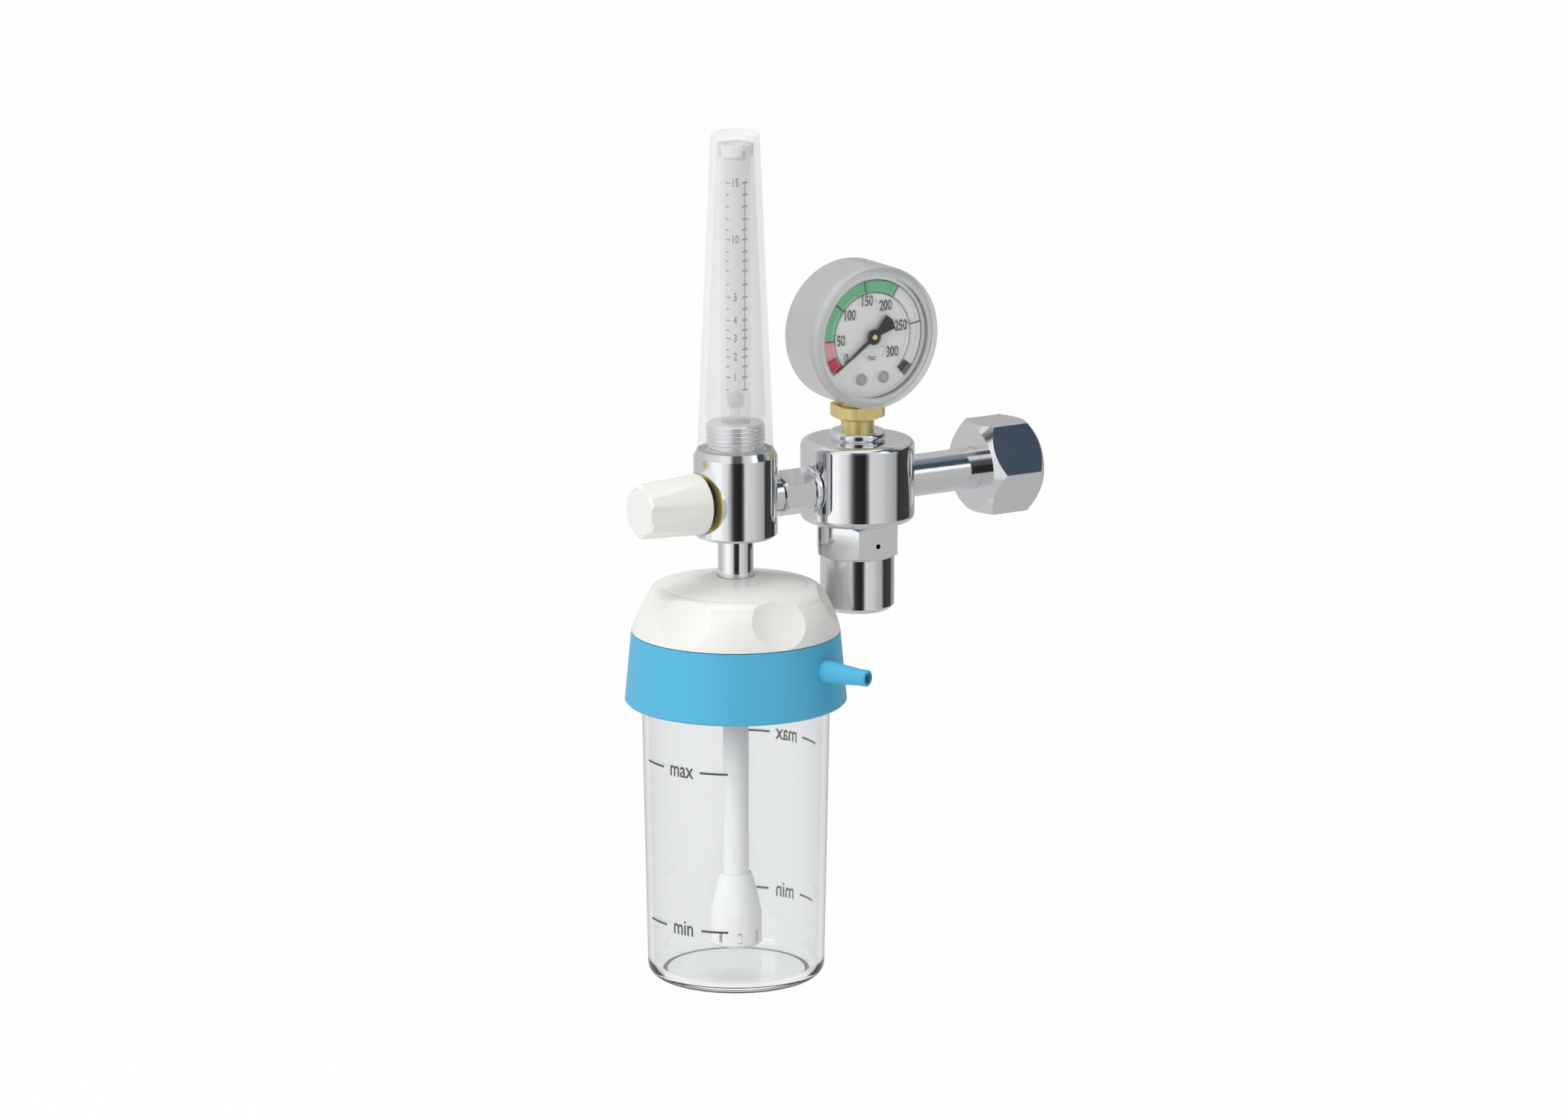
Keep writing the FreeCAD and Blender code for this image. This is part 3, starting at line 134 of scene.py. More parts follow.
class Signal:
    """A value socket that takes part in arithmetic by adding Math nodes."""

    def __init__(self, graph: Graph, socket: bpy.types.NodeSocket) -> None:
        """Keep the graph and the socket.

        Args:
            graph: Graph that the socket belongs to.
            socket: Output socket that carries the value.
        """
        self.graph = graph
        self.socket = socket

    def _math(self, operation: str, first: Any, second: Any) -> Signal:
        """Add a Math node.

        Args:
            operation: Blender's name of the operation.
            first: First value or signal.
            second: Second value or signal.

        Returns:
            The node's result.
        """
        node = self.graph.add("ShaderNodeMath", {"operation": operation}, {0: first, 1: second})
        return Signal(self.graph, node.outputs[0])

    def __add__(self, other: Any) -> Signal:
        """Sum."""
        return self._math("ADD", self, other)

    def __radd__(self, other: Any) -> Signal:
        """Sum with the signal on the right."""
        return self._math("ADD", other, self)

    def __sub__(self, other: Any) -> Signal:
        """Difference."""
        return self._math("SUBTRACT", self, other)

    def __rsub__(self, other: Any) -> Signal:
        """Difference with the signal on the right."""
        return self._math("SUBTRACT", other, self)

    def __mul__(self, other: Any) -> Signal:
        """Product."""
        return self._math("MULTIPLY", self, other)

    def __rmul__(self, other: Any) -> Signal:
        """Product with the signal on the right."""
        return self._math("MULTIPLY", other, self)

    def largest(self, other: Any) -> Signal:
        """The greater of two signals."""
        return self._math("MAXIMUM", self, other)

    def angle(self, across: Any) -> Signal:
        """Angle whose rise is this signal and whose run is the other, in radians."""
        return self._math("ARCTAN2", self, across)

    def rises(self, low: float, high: float) -> Signal:
        """Smooth step from 0 to 1 between two levels."""
        node = self.graph.add("ShaderNodeMapRange", {"interpolation_type": "SMOOTHSTEP"},
                              {0: self, 1: low, 2: high})
        return self.graph.signal(node)

    def power(self, exponent: float) -> Signal:
        """The signal to a power."""
        return self._math("POWER", self, exponent)


class Graph:
    """A node tree that is written from Python."""

    def __init__(self, tree: bpy.types.NodeTree) -> None:
        """Empty the tree.

        Args:
            tree: Node tree of a material or of the world.
        """
        self.tree = tree
        tree.nodes.clear()

    def add(self, kind: str, settings: Setting | None = None,
            inputs: Mapping[Any, Any] | None = None) -> bpy.types.Node:
        """Add a node, set it and connect it.

        Args:
            kind: Blender's type name of the node.
            settings: Properties that are set first; "stops" fills a colour ramp.
            inputs: Values, sockets or signals by socket name or number.

        Returns:
            The new node.
        """
        node = self.tree.nodes.new(kind)
        for key, value in (settings or {}).items():
            if key == "stops":
                self._fill_ramp(node.color_ramp, value)
            else:
                setattr(node, key, value)
        for key, value in (inputs or {}).items():
            target = node.inputs[key]
            if isinstance(value, Signal):
                self.tree.links.new(value.socket, target)
            elif isinstance(value, bpy.types.NodeSocket):
                self.tree.links.new(value, target)
            else:
                target.default_value = value
        return node

    @staticmethod
    def _fill_ramp(ramp: bpy.types.ColorRamp, stops: Sequence[tuple[float, Colour]]) -> None:
        """Set the stops of a colour ramp.

        Args:
            ramp: Ramp to fill.
            stops: Place and colour of each stop, in rising order.
        """
        while len(ramp.elements) < len(stops):
            ramp.elements.new(1.0)
        for element, (place, colour) in zip(ramp.elements, stops):
            element.position = place
            element.color = (*colour, 1.0)

    def signal(self, node: bpy.types.Node, output: Any = 0) -> Signal:
        """One output of a node as a signal."""
        return Signal(self, node.outputs[output])

    def place(self) -> bpy.types.NodeSocket:
        """The place on the object, in metres."""
        return self.add("ShaderNodeTexCoord").outputs["Object"]

    def noise(self, scale: float, detail: float = 2.0) -> Signal:
        """Noise between 0 and 1.

        Args:
            scale: Waves in a metre.
            detail: Finer layers.

        Returns:
            The noise.
        """
        node = self.add("ShaderNodeTexNoise", None,
                        {"Vector": self.place(), "Scale": scale, "Detail": detail})
        return self.signal(node, "Fac")

    def coordinate(self, axis: int) -> Signal:
        """One coordinate of the place on the object, in metres."""
        node = self.add("ShaderNodeSeparateXYZ", None, {0: self.place()})
        return self.signal(node, axis)

    def blend(self, factor: Signal, first: Any, second: Any) -> bpy.types.NodeSocket:
        """Mix two colours.

        Args:
            factor: Share of the second colour.
            first: Colour or socket at 0.
            second: Colour or socket at 1.

        Returns:
            The mixed colour.
        """
        node = self.add("ShaderNodeMix", {"data_type": "RGBA"},
                        {0: factor, 6: self._filled(first), 7: self._filled(second)})
        return node.outputs[2]

    @staticmethod
    def _filled(colour: Any) -> Any:
        """A colour with its alpha, or the socket itself."""
        return (*colour, 1.0) if isinstance(colour, tuple) else colour

    def bump(self, height: Signal, depth: float) -> bpy.types.NodeSocket:
        """Normal that is bent by a height.

        Args:
            height: Height between 0 and 1.
            depth: Depth in metres that a height of 1 stands for.

        Returns:
            The normal.
        """
        node = self.add("ShaderNodeBump", None,
                        {"Height": height, "Distance": depth, "Strength": 1.0})
        return node.outputs["Normal"]


@dataclass(frozen=True)
class Finish:
    """A finish that makes its material once."""

    name: str
    colour: Colour

    def material(self) -> bpy.types.Material:
        """The material, made on first use."""
        found = bpy.data.materials.get(self.name)
        if found is None:
            found = bpy.data.materials.new(self.name)
            found.use_nodes = True
            self.paint(Graph(found.node_tree))
        return found

    def paint(self, graph: Graph) -> None:
        """Write the nodes of the finish."""
        raise NotImplementedError

    @staticmethod
    def principled(graph: Graph, inputs: Mapping[str, Any]) -> None:
        """Add the shader and connect it to the output.

        Args:
            graph: Graph of the material.
            inputs: Values and links of the shader.
        """
        shader = graph.add("ShaderNodeBsdfPrincipled", None, inputs)
        graph.add("ShaderNodeOutputMaterial", None, {"Surface": shader.outputs[0]})


@dataclass(frozen=True)
class PolishedPlate(Finish):
    """Chromium plate with a faint ripple, and one worn spot where a place is given."""

    roughness: float = 0.05
    smear_scale: float = 90.0
    smear_share: float = 0.04
    ripple: float = 0.00002
    ripple_scale: float = 160.0
    worn_at: Place | None = None
    worn_radius: float = 0.0018
    worn_softness: float = 1.7
    worn_colour: Colour = (0.66, 0.56, 0.33)
    worn_roughness: float = 0.15
    fray_scale: float = 700.0
    fray_depth: float = 0.002

    def paint(self, graph: Graph) -> None:
        """Write the nodes of the plate, with brass showing where it is worn."""
        smear = graph.noise(self.smear_scale, FINE)
        colour: Any = (*self.colour, 1.0)
        roughness = self.roughness + smear * self.smear_share
        if self.worn_at is not None:
            away = graph.add("ShaderNodeVectorMath", {"operation": "DISTANCE"},
                             {0: graph.place(), 1: self.worn_at})
            edge = graph.signal(away, "Value") + graph.noise(self.fray_scale) * self.fray_depth
            worn = 1.0 - edge.rises(self.worn_radius, self.worn_radius * self.worn_softness)
            colour = graph.blend(worn, self.colour, self.worn_colour)
            roughness = roughness + worn * self.worn_roughness
        self.principled(graph, {
            "Base Color": colour, "Metallic": 1.0, "Roughness": roughness,
            "Normal": graph.bump(graph.noise(self.ripple_scale), self.ripple)})


@dataclass(frozen=True)
class TurnedMetal(Finish):
    """Bare machined metal with stains and fine cutting marks."""

    roughness: float = 0.24
    metallic: float = 1.0
    marks: float = 0.00001
    mark_scale: float = 2600.0
    stain_scale: float = 260.0
    stain_depth: float = 0.72
    stain_contrast: float = 2.0
    stain_roughness: float = 0.12

    def paint(self, graph: Graph) -> None:
        """Write the nodes of the metal."""
        stain = graph.noise(self.stain_scale, FINEST)
        fine = graph.noise(self.mark_scale)
        darker = tuple(channel * self.stain_depth for channel in self.colour)
        self.principled(graph, {
            "Base Color": graph.blend(stain.power(self.stain_contrast), self.colour, darker),
            "Metallic": self.metallic,
            "Roughness": self.roughness + stain * self.stain_roughness,
            "Normal": graph.bump(fine, self.marks)})


@dataclass(frozen=True)
class MouldedPlastic(Finish):
    """Opaque moulded plastic with a soft gloss."""

    roughness: float = 0.32
    matt_scale: float = 420.0
    matt_share: float = 0.08
    cloud_scale: float = 70.0
    cloud_gain: float = 1.03
    grain: float = 0.00001
    grain_scale: float = 1500.0

    def paint(self, graph: Graph) -> None:
        """Write the nodes of the plastic."""
        cloud = graph.noise(self.cloud_scale, FINE)
        paler = tuple(min(1.0, channel * self.cloud_gain) for channel in self.colour)
        matt = graph.noise(self.matt_scale, FINEST)
        self.principled(graph, {
            "Base Color": graph.blend(cloud, self.colour, paler),
            "Roughness": self.roughness + matt * self.matt_share,
            "Normal": graph.bump(graph.noise(self.grain_scale, FINE), self.grain)})


@dataclass(frozen=True)
class FilmPlastic(Finish):
    """Clear plastic of thin walls, which veils what lies behind it."""

    cover: float = 0.251
    roughness: float = 0.23
    wipe_scale: float = 140.0
    wipe_share: float = 0.04

    def paint(self, graph: Graph) -> None:
        """Write the nodes of the plastic."""
        wipe = graph.noise(self.wipe_scale, FINEST)
        self.principled(graph, {
            "Base Color": (*self.colour, 1.0), "Alpha": self.cover,
            "Roughness": self.roughness + wipe * self.wipe_share})


@dataclass(frozen=True)
class ClearPlastic(Finish):
    """Clear plastic that bends light, has painted shade that darkens its edges, and casts only a
    faint shadow.
    """

    # Painted edge shade: a darker colour towards grazing angles stands in for the dark edges that
    # refraction gives.
    edge_colour: Colour = (0.57, 0.59, 0.61)
    cover: float = 1.0
    roughness: float = 0.02
    wipe_scale: float = 140.0
    wipe_share: float = 0.06
    wipe_contrast: float = 3.0
    edge_contrast: float = 3.0
    index: float = 1.49
    clearness: float = 0.85
    # Painted light: beyond rim_radius from this centre, a pale opaque shader covers the glass and
    # stands in for the light seen in the thick rim.
    rim_centre: Place | None = None
    rim_colour: Colour = (0.74, 0.76, 0.76)
    rim_radius: float = 0.0213
    rim_blur: float = 0.0008
    rim_share: float = 0.62
    rim_roughness: float = 0.12

    def paint(self, graph: Graph) -> None:
        """Write the nodes of the plastic, with a painted pale rim, standing in for the light seen
        in a thick rim, where the piece has one.
        """
        wipe = graph.noise(self.wipe_scale, FINEST)
        shadow = graph.signal(graph.add("ShaderNodeLightPath"), "Is Shadow Ray")
        grazing = graph.signal(graph.add("ShaderNodeLayerWeight"), "Facing")
        clear = {
            # Painted edge shade: the base colour darkens where the surface is seen edge-on.
            "Base Color": graph.blend(grazing.power(self.edge_contrast), self.colour,
                                      self.edge_colour),
            "Transmission Weight": 1.0, "IOR": self.index,
            "Roughness": self.roughness + wipe.power(self.wipe_contrast) * self.wipe_share,
            "Alpha": (1.0 - shadow * self.clearness) * self.cover}
        if self.rim_centre is None:
            self.principled(graph, clear)
            return
        # Mask of the painted pale rim, which is off for shadow rays.
        across = graph.coordinate(0) - self.rim_centre[0]
        up = graph.coordinate(2) - self.rim_centre[2]
        away = (across * across + up * up).power(0.5)
        rim = away.rises(self.rim_radius, self.rim_radius + self.rim_blur) * (1.0 - shadow)
        # Pale opaque shader that paints the light of the thick rim.
        pale = graph.add("ShaderNodeBsdfPrincipled", None,
                         {"Base Color": (*self.rim_colour, 1.0), "Roughness": self.rim_roughness})
        glass = graph.add("ShaderNodeBsdfPrincipled", None, clear)
        mixed = graph.add("ShaderNodeMixShader", None,
                          {0: rim * self.rim_share, 1: glass.outputs[0], 2: pale.outputs[0]})
        graph.add("ShaderNodeOutputMaterial", None, {"Surface": mixed.outputs[0]})


@dataclass(frozen=True)
class Rubber(Finish):
    """Matt rubber."""

    roughness: float = 0.75
    dust_scale: float = 600.0
    dust_share: float = 0.2
    grain: float = 0.00003
    grain_scale: float = 3000.0

    def paint(self, graph: Graph) -> None:
        """Write the nodes of the rubber."""
        dust = graph.noise(self.dust_scale, FINEST)
        self.principled(graph, {
            "Base Color": (*self.colour, 1.0),
            "Roughness": self.roughness + dust * self.dust_share,
            "Normal": graph.bump(graph.noise(self.grain_scale), self.grain)})


@dataclass(frozen=True)
class Enamel(Finish):
    """Printed or painted layer."""

    roughness: float = 0.45
    wear_scale: float = 900.0
    wear_share: float = 0.1

    def paint(self, graph: Graph) -> None:
        """Write the nodes of the layer."""
        wear = graph.noise(self.wear_scale, FINE)
        self.principled(graph, {
            "Base Color": (*self.colour, 1.0),
            "Roughness": self.roughness + wear * self.wear_share})


CHROME = PolishedPlate("chrome_plate", (0.80, 0.81, 0.83))
SATIN_CHROME = PolishedPlate("satin_chrome_plate", (0.80, 0.80, 0.79), roughness=0.2)
WORN_CHROME = PolishedPlate("worn_chrome_plate", (0.80, 0.81, 0.83),
                            worn_at=(-0.1345, -0.0035, 0.0148))
BRASS = TurnedMetal("bare_brass", (1.0, 0.83, 0.37), roughness=0.36, metallic=0.75)
STEEL = TurnedMetal("bright_steel", (0.66, 0.66, 0.67), roughness=0.18)
STUD_NICKEL = TurnedMetal("dull_nickel", (0.52, 0.52, 0.50), roughness=0.3)
BRONZE = TurnedMetal("sintered_bronze", (0.48, 0.33, 0.19), roughness=0.5, marks=0.00008)
IVORY = MouldedPlastic("soft_ivory", (0.877, 0.877, 0.838), roughness=0.21)
IVORY_CAP = MouldedPlastic("white_cap_plastic", (0.86, 0.86, 0.84), roughness=0.3)
BLUE = MouldedPlastic("sky_blue_plastic", (0.08, 0.46, 0.71), roughness=0.34)
MILKY = MouldedPlastic("milky_polymer", (0.866, 0.866, 0.858), roughness=0.66)
WHITE_SEAL = MouldedPlastic("white_seal_plastic", (0.78, 0.78, 0.75), roughness=0.5)
TUBE_CLEAR = FilmPlastic("clear_tube_plastic", (0.929, 0.941, 0.949))
# The third colour is the lens's painted edge shade.
LENS = ClearPlastic("clear_lens_plastic", (0.98, 0.985, 0.985), (0.62, 0.63, 0.64), cover=0.2,
                    roughness=0.01)
# The jar keeps the default painted edge shade.
JAR_CLEAR = ClearPlastic("clear_jar_plastic", (0.89, 0.90, 0.905), roughness=0.03)
BLACK_RUBBER = Rubber("moulded_rubber", (0.051, 0.051, 0.059))
DIAL_WHITE = Enamel("dial_white", (0.76, 0.77, 0.755))
POINTER_BLACK = Enamel("pointer_black", (0.02, 0.021, 0.022), roughness=0.5)
INK_BLACK = Enamel("black_ink", (0.035, 0.04, 0.042))
INK_GREY = Enamel("grey_ink", (0.10, 0.10, 0.105))
INK_DARK = Enamel("dark_grey_ink", (0.03, 0.03, 0.035))
INK_GREEN = Enamel("green_ink", (0.17, 0.48, 0.27))
INK_PINK = Enamel("pink_ink", (0.75, 0.34, 0.37))
INK_RED = Enamel("red_ink", (0.60, 0.045, 0.08))


def polar(radius: float, degrees: float, height: float = 0.0) -> Vector:
    """Point at a distance and an angle about the Z axis.

    Args:
        radius: Distance from the axis.
        degrees: Angle from +X.
        height: Height of the point.

    Returns:
        The point.
    """
    angle = math.radians(degrees)
    return Vector((radius * math.cos(angle), radius * math.sin(angle), height))


@dataclass
class SubAssembly:
    """A group of pieces that are dressed and modelled together."""

    frame: Mapping[str, Any]
    made: list[str] = field(default_factory=list)

    def dress(self, finish: Finish, *nodes: str) -> None:
        """Give nodes of the frame a finish.

        Args:
            finish: Finish to use.
            nodes: Names of the nodes.
        """
        for node in nodes:
            piece = self.frame["nodes"][node]
            piece.data.materials.clear()
            piece.data.materials.append(finish.material())
            self.made.append(node)

    def add(self, name: str, form: bmesh.types.BMesh, finish: Finish, body: Body,
            slot: Slot) -> None:
        """Turn a finished form into a piece of the object.

        Args:
            name: Name of the piece.
            form: Form in metres, in the frame's place.
            finish: Finish of the piece.
            body: Body that it rides on.
            slot: Slot of the record that its finish stands for; not used.
        """
        mesh = bpy.data.meshes.new(name)
        form.to_mesh(mesh)
        form.free()
        for polygon in mesh.polygons:
            polygon.use_smooth = True
        mesh.set_sharp_from_angle(angle=math.radians(SHARP_DEGREES))
        mesh.materials.append(finish.material())
        piece = bpy.data.objects.new(name, mesh)
        bpy.context.scene.collection.objects.link(piece)
        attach(piece, body.value)
        self.made.append(name)

    @staticmethod
    def axis_of(node: str) -> Vector:
        """Point at height 0 on the axis of an upright round node."""
        low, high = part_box(node)
        return Vector(((low[0] + high[0]) / 2, (low[1] + high[1]) / 2, 0.0))

    def build(self) -> None:
        """Dress and model the pieces."""
        raise NotImplementedError


def lettering(words: str, height: float, width_share: float, thickness: float,
              weight: float) -> bmesh.types.BMesh:
    """Letters as a closed form in the XY plane, centred, rising along +Z.

    Args:
        words: Text.
        height: Size of the letters in metres.
        width_share: Width as a share of the usual width.
        thickness: Thickness of the letters.
        weight: Extra stroke on each side.

    Returns:
        The form.
    """
    curve = bpy.data.curves.new("lettering", "FONT")
    curve.body = words
    curve.size = 1.0
    curve.align_x = "CENTER"
    curve.align_y = "CENTER"
    curve.extrude = thickness / height / 2
    curve.offset = weight / height
    curve.resolution_u = LETTER_STEPS
    holder = bpy.data.objects.new("lettering", curve)
    bpy.context.scene.collection.objects.link(holder)
    graph = bpy.context.evaluated_depsgraph_get()
    mesh = bpy.data.meshes.new_from_object(holder.evaluated_get(graph))
    form = bmesh.new()
    form.from_mesh(mesh)
    bmesh.ops.remove_doubles(form, verts=form.verts, dist=LETTER_WELD)
    bmesh.ops.scale(form, vec=(height * width_share, height, height), verts=form.verts)
    bpy.data.objects.remove(holder)
    bpy.data.curves.remove(curve)
    bpy.data.meshes.remove(mesh)
    return form


def joined(forms: Sequence[bmesh.types.BMesh]) -> bmesh.types.BMesh:
    """One form from several, which are freed.

    Args:
        forms: Forms to put together.

    Returns:
        The whole form.
    """
    whole = bmesh.new()
    for form in forms:
        mesh = bpy.data.meshes.new("part")
        form.to_mesh(mesh)
        form.free()
        whole.from_mesh(mesh)
        bpy.data.meshes.remove(mesh)
    return whole


def ring_band(inner: float, outer: float, start: float, end: float,
              thickness: float) -> bmesh.types.BMesh:
    """Flat band of a ring in the XY plane, rising along +Z.

    Args:
        inner: Inner radius.
        outer: Outer radius.
        start: First angle in degrees, clockwise from +Y.
        end: Last angle in degrees, clockwise from +Y.
        thickness: Thickness of the band.

    Returns:
        The closed form.
    """
    form = bmesh.new()
    corners = [(inner, 0.0), (outer, 0.0), (outer, thickness), (inner, thickness)]
    angle = math.radians(90.0 - start)
    ring = []
    for radius, height in corners:
        ring.append(form.verts.new((radius * math.cos(angle), radius * math.sin(angle), height)))
    face = form.faces.new(ring)
    steps = max(2, int(abs(end - start) / RING_DEGREES))
    bmesh.ops.spin(form, geom=[face, *face.edges, *face.verts], cent=(0, 0, 0), axis=(0, 0, -1),
                   angle=math.radians(end - start), steps=steps, use_duplicate=False)
    bmesh.ops.recalc_face_normals(form, faces=form.faces)
    return form


def strip(start: Vector, end: Vector, width: float, thickness: float) -> bmesh.types.BMesh:
    """Straight bar in the XY plane, rising along +Z.

    Args:
        start: Middle of one end.
        end: Middle of the other end.
        width: Width of the bar.
        thickness: Thickness of the bar.

    Returns:
        The closed form.
    """
    form = bmesh.new()
    along = end - start
    bmesh.ops.create_cube(form, size=1.0)
    bmesh.ops.translate(form, vec=(0.5, 0.0, 0.5), verts=form.verts)
    bmesh.ops.scale(form, vec=(along.length, width, thickness), verts=form.verts)
    turn = Matrix.Rotation(math.atan2(along.y, along.x), 4, "Z")
    bmesh.ops.transform(form, matrix=Matrix.Translation(start) @ turn, verts=form.verts)
    return form


def wrap(form: bmesh.types.BMesh, axis: Vector, azimuth: float,
         radius_at: Callable[[float], float]) -> None:
    """Lay a flat form on an upright round surface, cut into narrow lengths so that it can bend.

    Args:
        form: Form in the XY plane: +X runs round to the right, +Y up, +Z outwards.
        axis: Point on the surface's axis at height 0.
        azimuth: Angle of the form's middle about the axis, in degrees.
        radius_at: Radius of the surface at a height.
    """
    reach = max(abs(vertex.co.x) for vertex in form.verts)
    middle = sum(vertex.co.y for vertex in form.verts) / len(form.verts)
    step = radius_at(middle) * math.radians(BEND_DEGREES)
    for number in range(-int(reach / step), int(reach / step) + 1):
        bmesh.ops.bisect_plane(form, geom=[*form.verts, *form.edges, *form.faces],
                               plane_co=(number * step, 0.0, 0.0), plane_no=(1.0, 0.0, 0.0))
    for vertex in form.verts:
        across, height, depth = vertex.co
        radius = radius_at(height)
        angle = azimuth + math.degrees(across / radius)
        vertex.co = axis + polar(radius + depth, angle, height)


def helical_ridge(axis_start: Vector, axis: Vector, root: float, crest: float, pitch: float,
                  turns: float, steps: int = 48) -> bmesh.types.BMesh:
    """Ridge of a screw thread, as a closed form.

    Args:
        axis_start: Point on the axis where the thread starts.
        axis: Direction that the thread runs in.
        root: Radius at the foot of the ridge.
        crest: Radius at the top of the ridge.
        pitch: Distance from one turn to the next.
        turns: Number of turns.
        steps: Steps in a turn.

    Returns:
        The closed form.
    """
    form = bmesh.new()
    side = axis.orthogonal().normalized()
    half = pitch * THREAD_FOOT
    flat = pitch * THREAD_CREST
    profile = [(root, -half), (crest, -flat), (crest, flat), (root, half)]
    ring = [form.verts.new(axis_start + side * radius + axis * along)
            for radius, along in profile]
    face = form.faces.new(ring)
    count = int(steps * turns)
    bmesh.ops.spin(form, geom=[face, *face.edges, *face.verts], cent=axis_start, axis=axis,
                   dvec=axis * pitch / steps, angle=math.tau * turns, steps=count,
                   use_duplicate=False)
    bmesh.ops.recalc_face_normals(form, faces=form.faces)
    return form


@dataclass
class Regulator(SubAssembly):
    """Inlet, regulator body and connector, with the thread in the mouth of the nut."""

    thread_radius: float = 10.5 * MM
    thread_depth: float = 0.7 * MM
    thread_pitch: float = 1.8 * MM
    thread_length: float = 11.0 * MM
    thread_start: float = 0.9 * MM
    thread_bite: float = 0.05 * MM
    piston_travel: float = 0.5 * MM

    def build(self) -> None:
        """Dress the pieces, give the spring its own mesh and cut the thread."""
        self.dress(CHROME, "inlet_nut", "inlet_stem", "regulator_body", "bonnet",
                   "connector_nipple", "connector_nut", "connector_washer")
        self.dress(BRONZE, "inlet_filter")
        self.dress(WHITE_SEAL, "inlet_seal", "seat_pad")
        self.dress(BLACK_RUBBER, "piston_head_seal", "piston_stem_seal")
        self.dress(BRASS, "piston")
        self.dress(STEEL, "main_spring")
        spring = self.frame["nodes"]["main_spring"]
        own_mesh(spring)
        turns = self.thread_length / self.thread_pitch
        ridge = helical_ridge(Vector((-self.thread_start, 0.0, 0.0)), Vector((-1.0, 0.0, 0.0)),
                              self.thread_radius + self.thread_bite,
                              self.thread_radius - self.thread_depth, self.thread_pitch, turns)
        self.add("inlet_thread", ridge, CHROME, Body.NUT, Slot.CHROME)


@dataclass
class Gauge(SubAssembly):
    """Contents gauge with its printed dial."""

    band_inner: float = 15.7 * MM
    band_outer: float = 20.3 * MM
    layer: float = 0.05 * MM
    arc_width: float = 0.38 * MM
    mark_width: float = 0.6 * MM
    figure_height: float = 5.3 * MM
    figure_width: float = 0.66
    figure_weight: float = 0.15 * MM
    unit_height: float = 3.0 * MM
    unit_width: float = 0.85
    unit_weight: float = 0.05 * MM
    unit_drop: float = 7.6 * MM
    arc_layer: float = 0.07 * MM
    mark_layer: float = 0.08 * MM
    figure_places: tuple[tuple[int, float, float], ...] = (
        (0, -10.8, -7.1), (50, -13.0, -0.4), (100, -9.5, 8.3), (150, -2.3, 12.8),
        (200, 5.5, 10.5), (250, 11.9, 2.7), (300, 8.3, -6.4))
    scale: tuple[tuple[int, float], ...] = (
        (0, -127.0), (20, -112.0), (50, -90.5), (100, -49.5), (150, -9.5), (200, 32.0),
        (250, 79.5), (300, 126.5))
    block_degrees: float = 13.0

    def build(self) -> None:
        """Dress the gauge and print its dial."""
        self.dress(CHROME, "gauge_collar")
        self.dress(SATIN_CHROME, "gauge_case")
        self.dress(BRASS, "gauge_stem", "tube_spring", "movement_back_plate",
                   "movement_front_plate", "movement_screws", "tube_tip_link", "sector_gear",
                   "pinion")
        self.dress(STUD_NICKEL, "dial_studs")
        low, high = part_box("dial")
        middle = tuple((near + far) / 2 for near, far in zip(low, high))
        # The lens gets a painted pale rim, centred on the dial, that stands in for the light in its
        # thick rim.
        self.dress(replace(LENS, rim_centre=middle), "gauge_lens")
        self.dress(DIAL_WHITE, "dial")
        self.dress(POINTER_BLACK, "pointer")
        self._print_bands()
        self._print_lines()
        self._print_figures()

    def _upright(self, form: bmesh.types.BMesh) -> bmesh.types.BMesh:
        """Stand a flat form on the face of the dial.

        Args:
            form: Form in the XY plane about the dial's centre.

        Returns:
            The same form, in place.
        """
        low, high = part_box("dial")
        centre = (Vector(low) + Vector(high)) / 2
        spot = Vector((centre.x, low[1] - PRINT_LIFT, centre.z))
        turn = Matrix.Rotation(math.radians(90.0), 4, "X")
        bmesh.ops.transform(form, matrix=Matrix.Translation(spot) @ turn, verts=form.verts)
        return form

    def _print_bands(self) -> None:
        """Print the coloured bands of the scale."""
        turn = dict(self.scale)
        bands = (("dial_red_band", INK_RED, 0, 20), ("dial_pink_band", INK_PINK, 20, 50),
                 ("dial_green_band", INK_GREEN, 50, 200))
        for name, ink, start, end in bands:
            band = ring_band(self.band_inner, self.band_outer, turn[start], turn[end], self.layer)
            self.add(name, self._upright(band), ink, Body.REGULATOR, Slot.DIAL)
        stop = self.scale[-1][1]
        block = ring_band(self.band_inner, self.band_outer, stop, stop + self.block_degrees,
                          self.layer)
        self.add("dial_end_block", self._upright(block), INK_BLACK, Body.REGULATOR, Slot.INK)

    def _print_lines(self) -> None:
        """Print the thin arcs and the marks."""
        forms = []
        for radius in (self.band_inner, self.band_outer):
            forms.append(ring_band(radius - self.arc_width / 2, radius + self.arc_width / 2,
                                   self.scale[0][1], self.scale[-1][1], self.arc_layer))
        for _, degrees in self.scale:
            direction = polar(1.0, 90.0 - degrees)
            forms.append(strip(direction * self.band_inner, direction * self.band_outer,
                               self.mark_width, self.mark_layer))
        self.add("dial_lines", self._upright(joined(forms)), INK_BLACK, Body.REGULATOR, Slot.INK)

    def _print_figures(self) -> None:
        """Print the numbers and the unit."""
        forms = []
        for value, across, up in self.figure_places:
            figures = lettering(str(value), self.figure_height, self.figure_width, self.layer,
                                self.figure_weight)
            bmesh.ops.translate(figures, vec=(across * MM, up * MM, 0.0), verts=figures.verts)
            forms.append(figures)
        unit = lettering("bar", self.unit_height, self.unit_width, self.layer, self.unit_weight)
        bmesh.ops.translate(unit, vec=(0.0, -self.unit_drop, 0.0), verts=unit.verts)
        forms.append(unit)
        self.add("dial_figures", self._upright(joined(forms)), INK_BLACK, Body.REGULATOR,
                 Slot.INK)


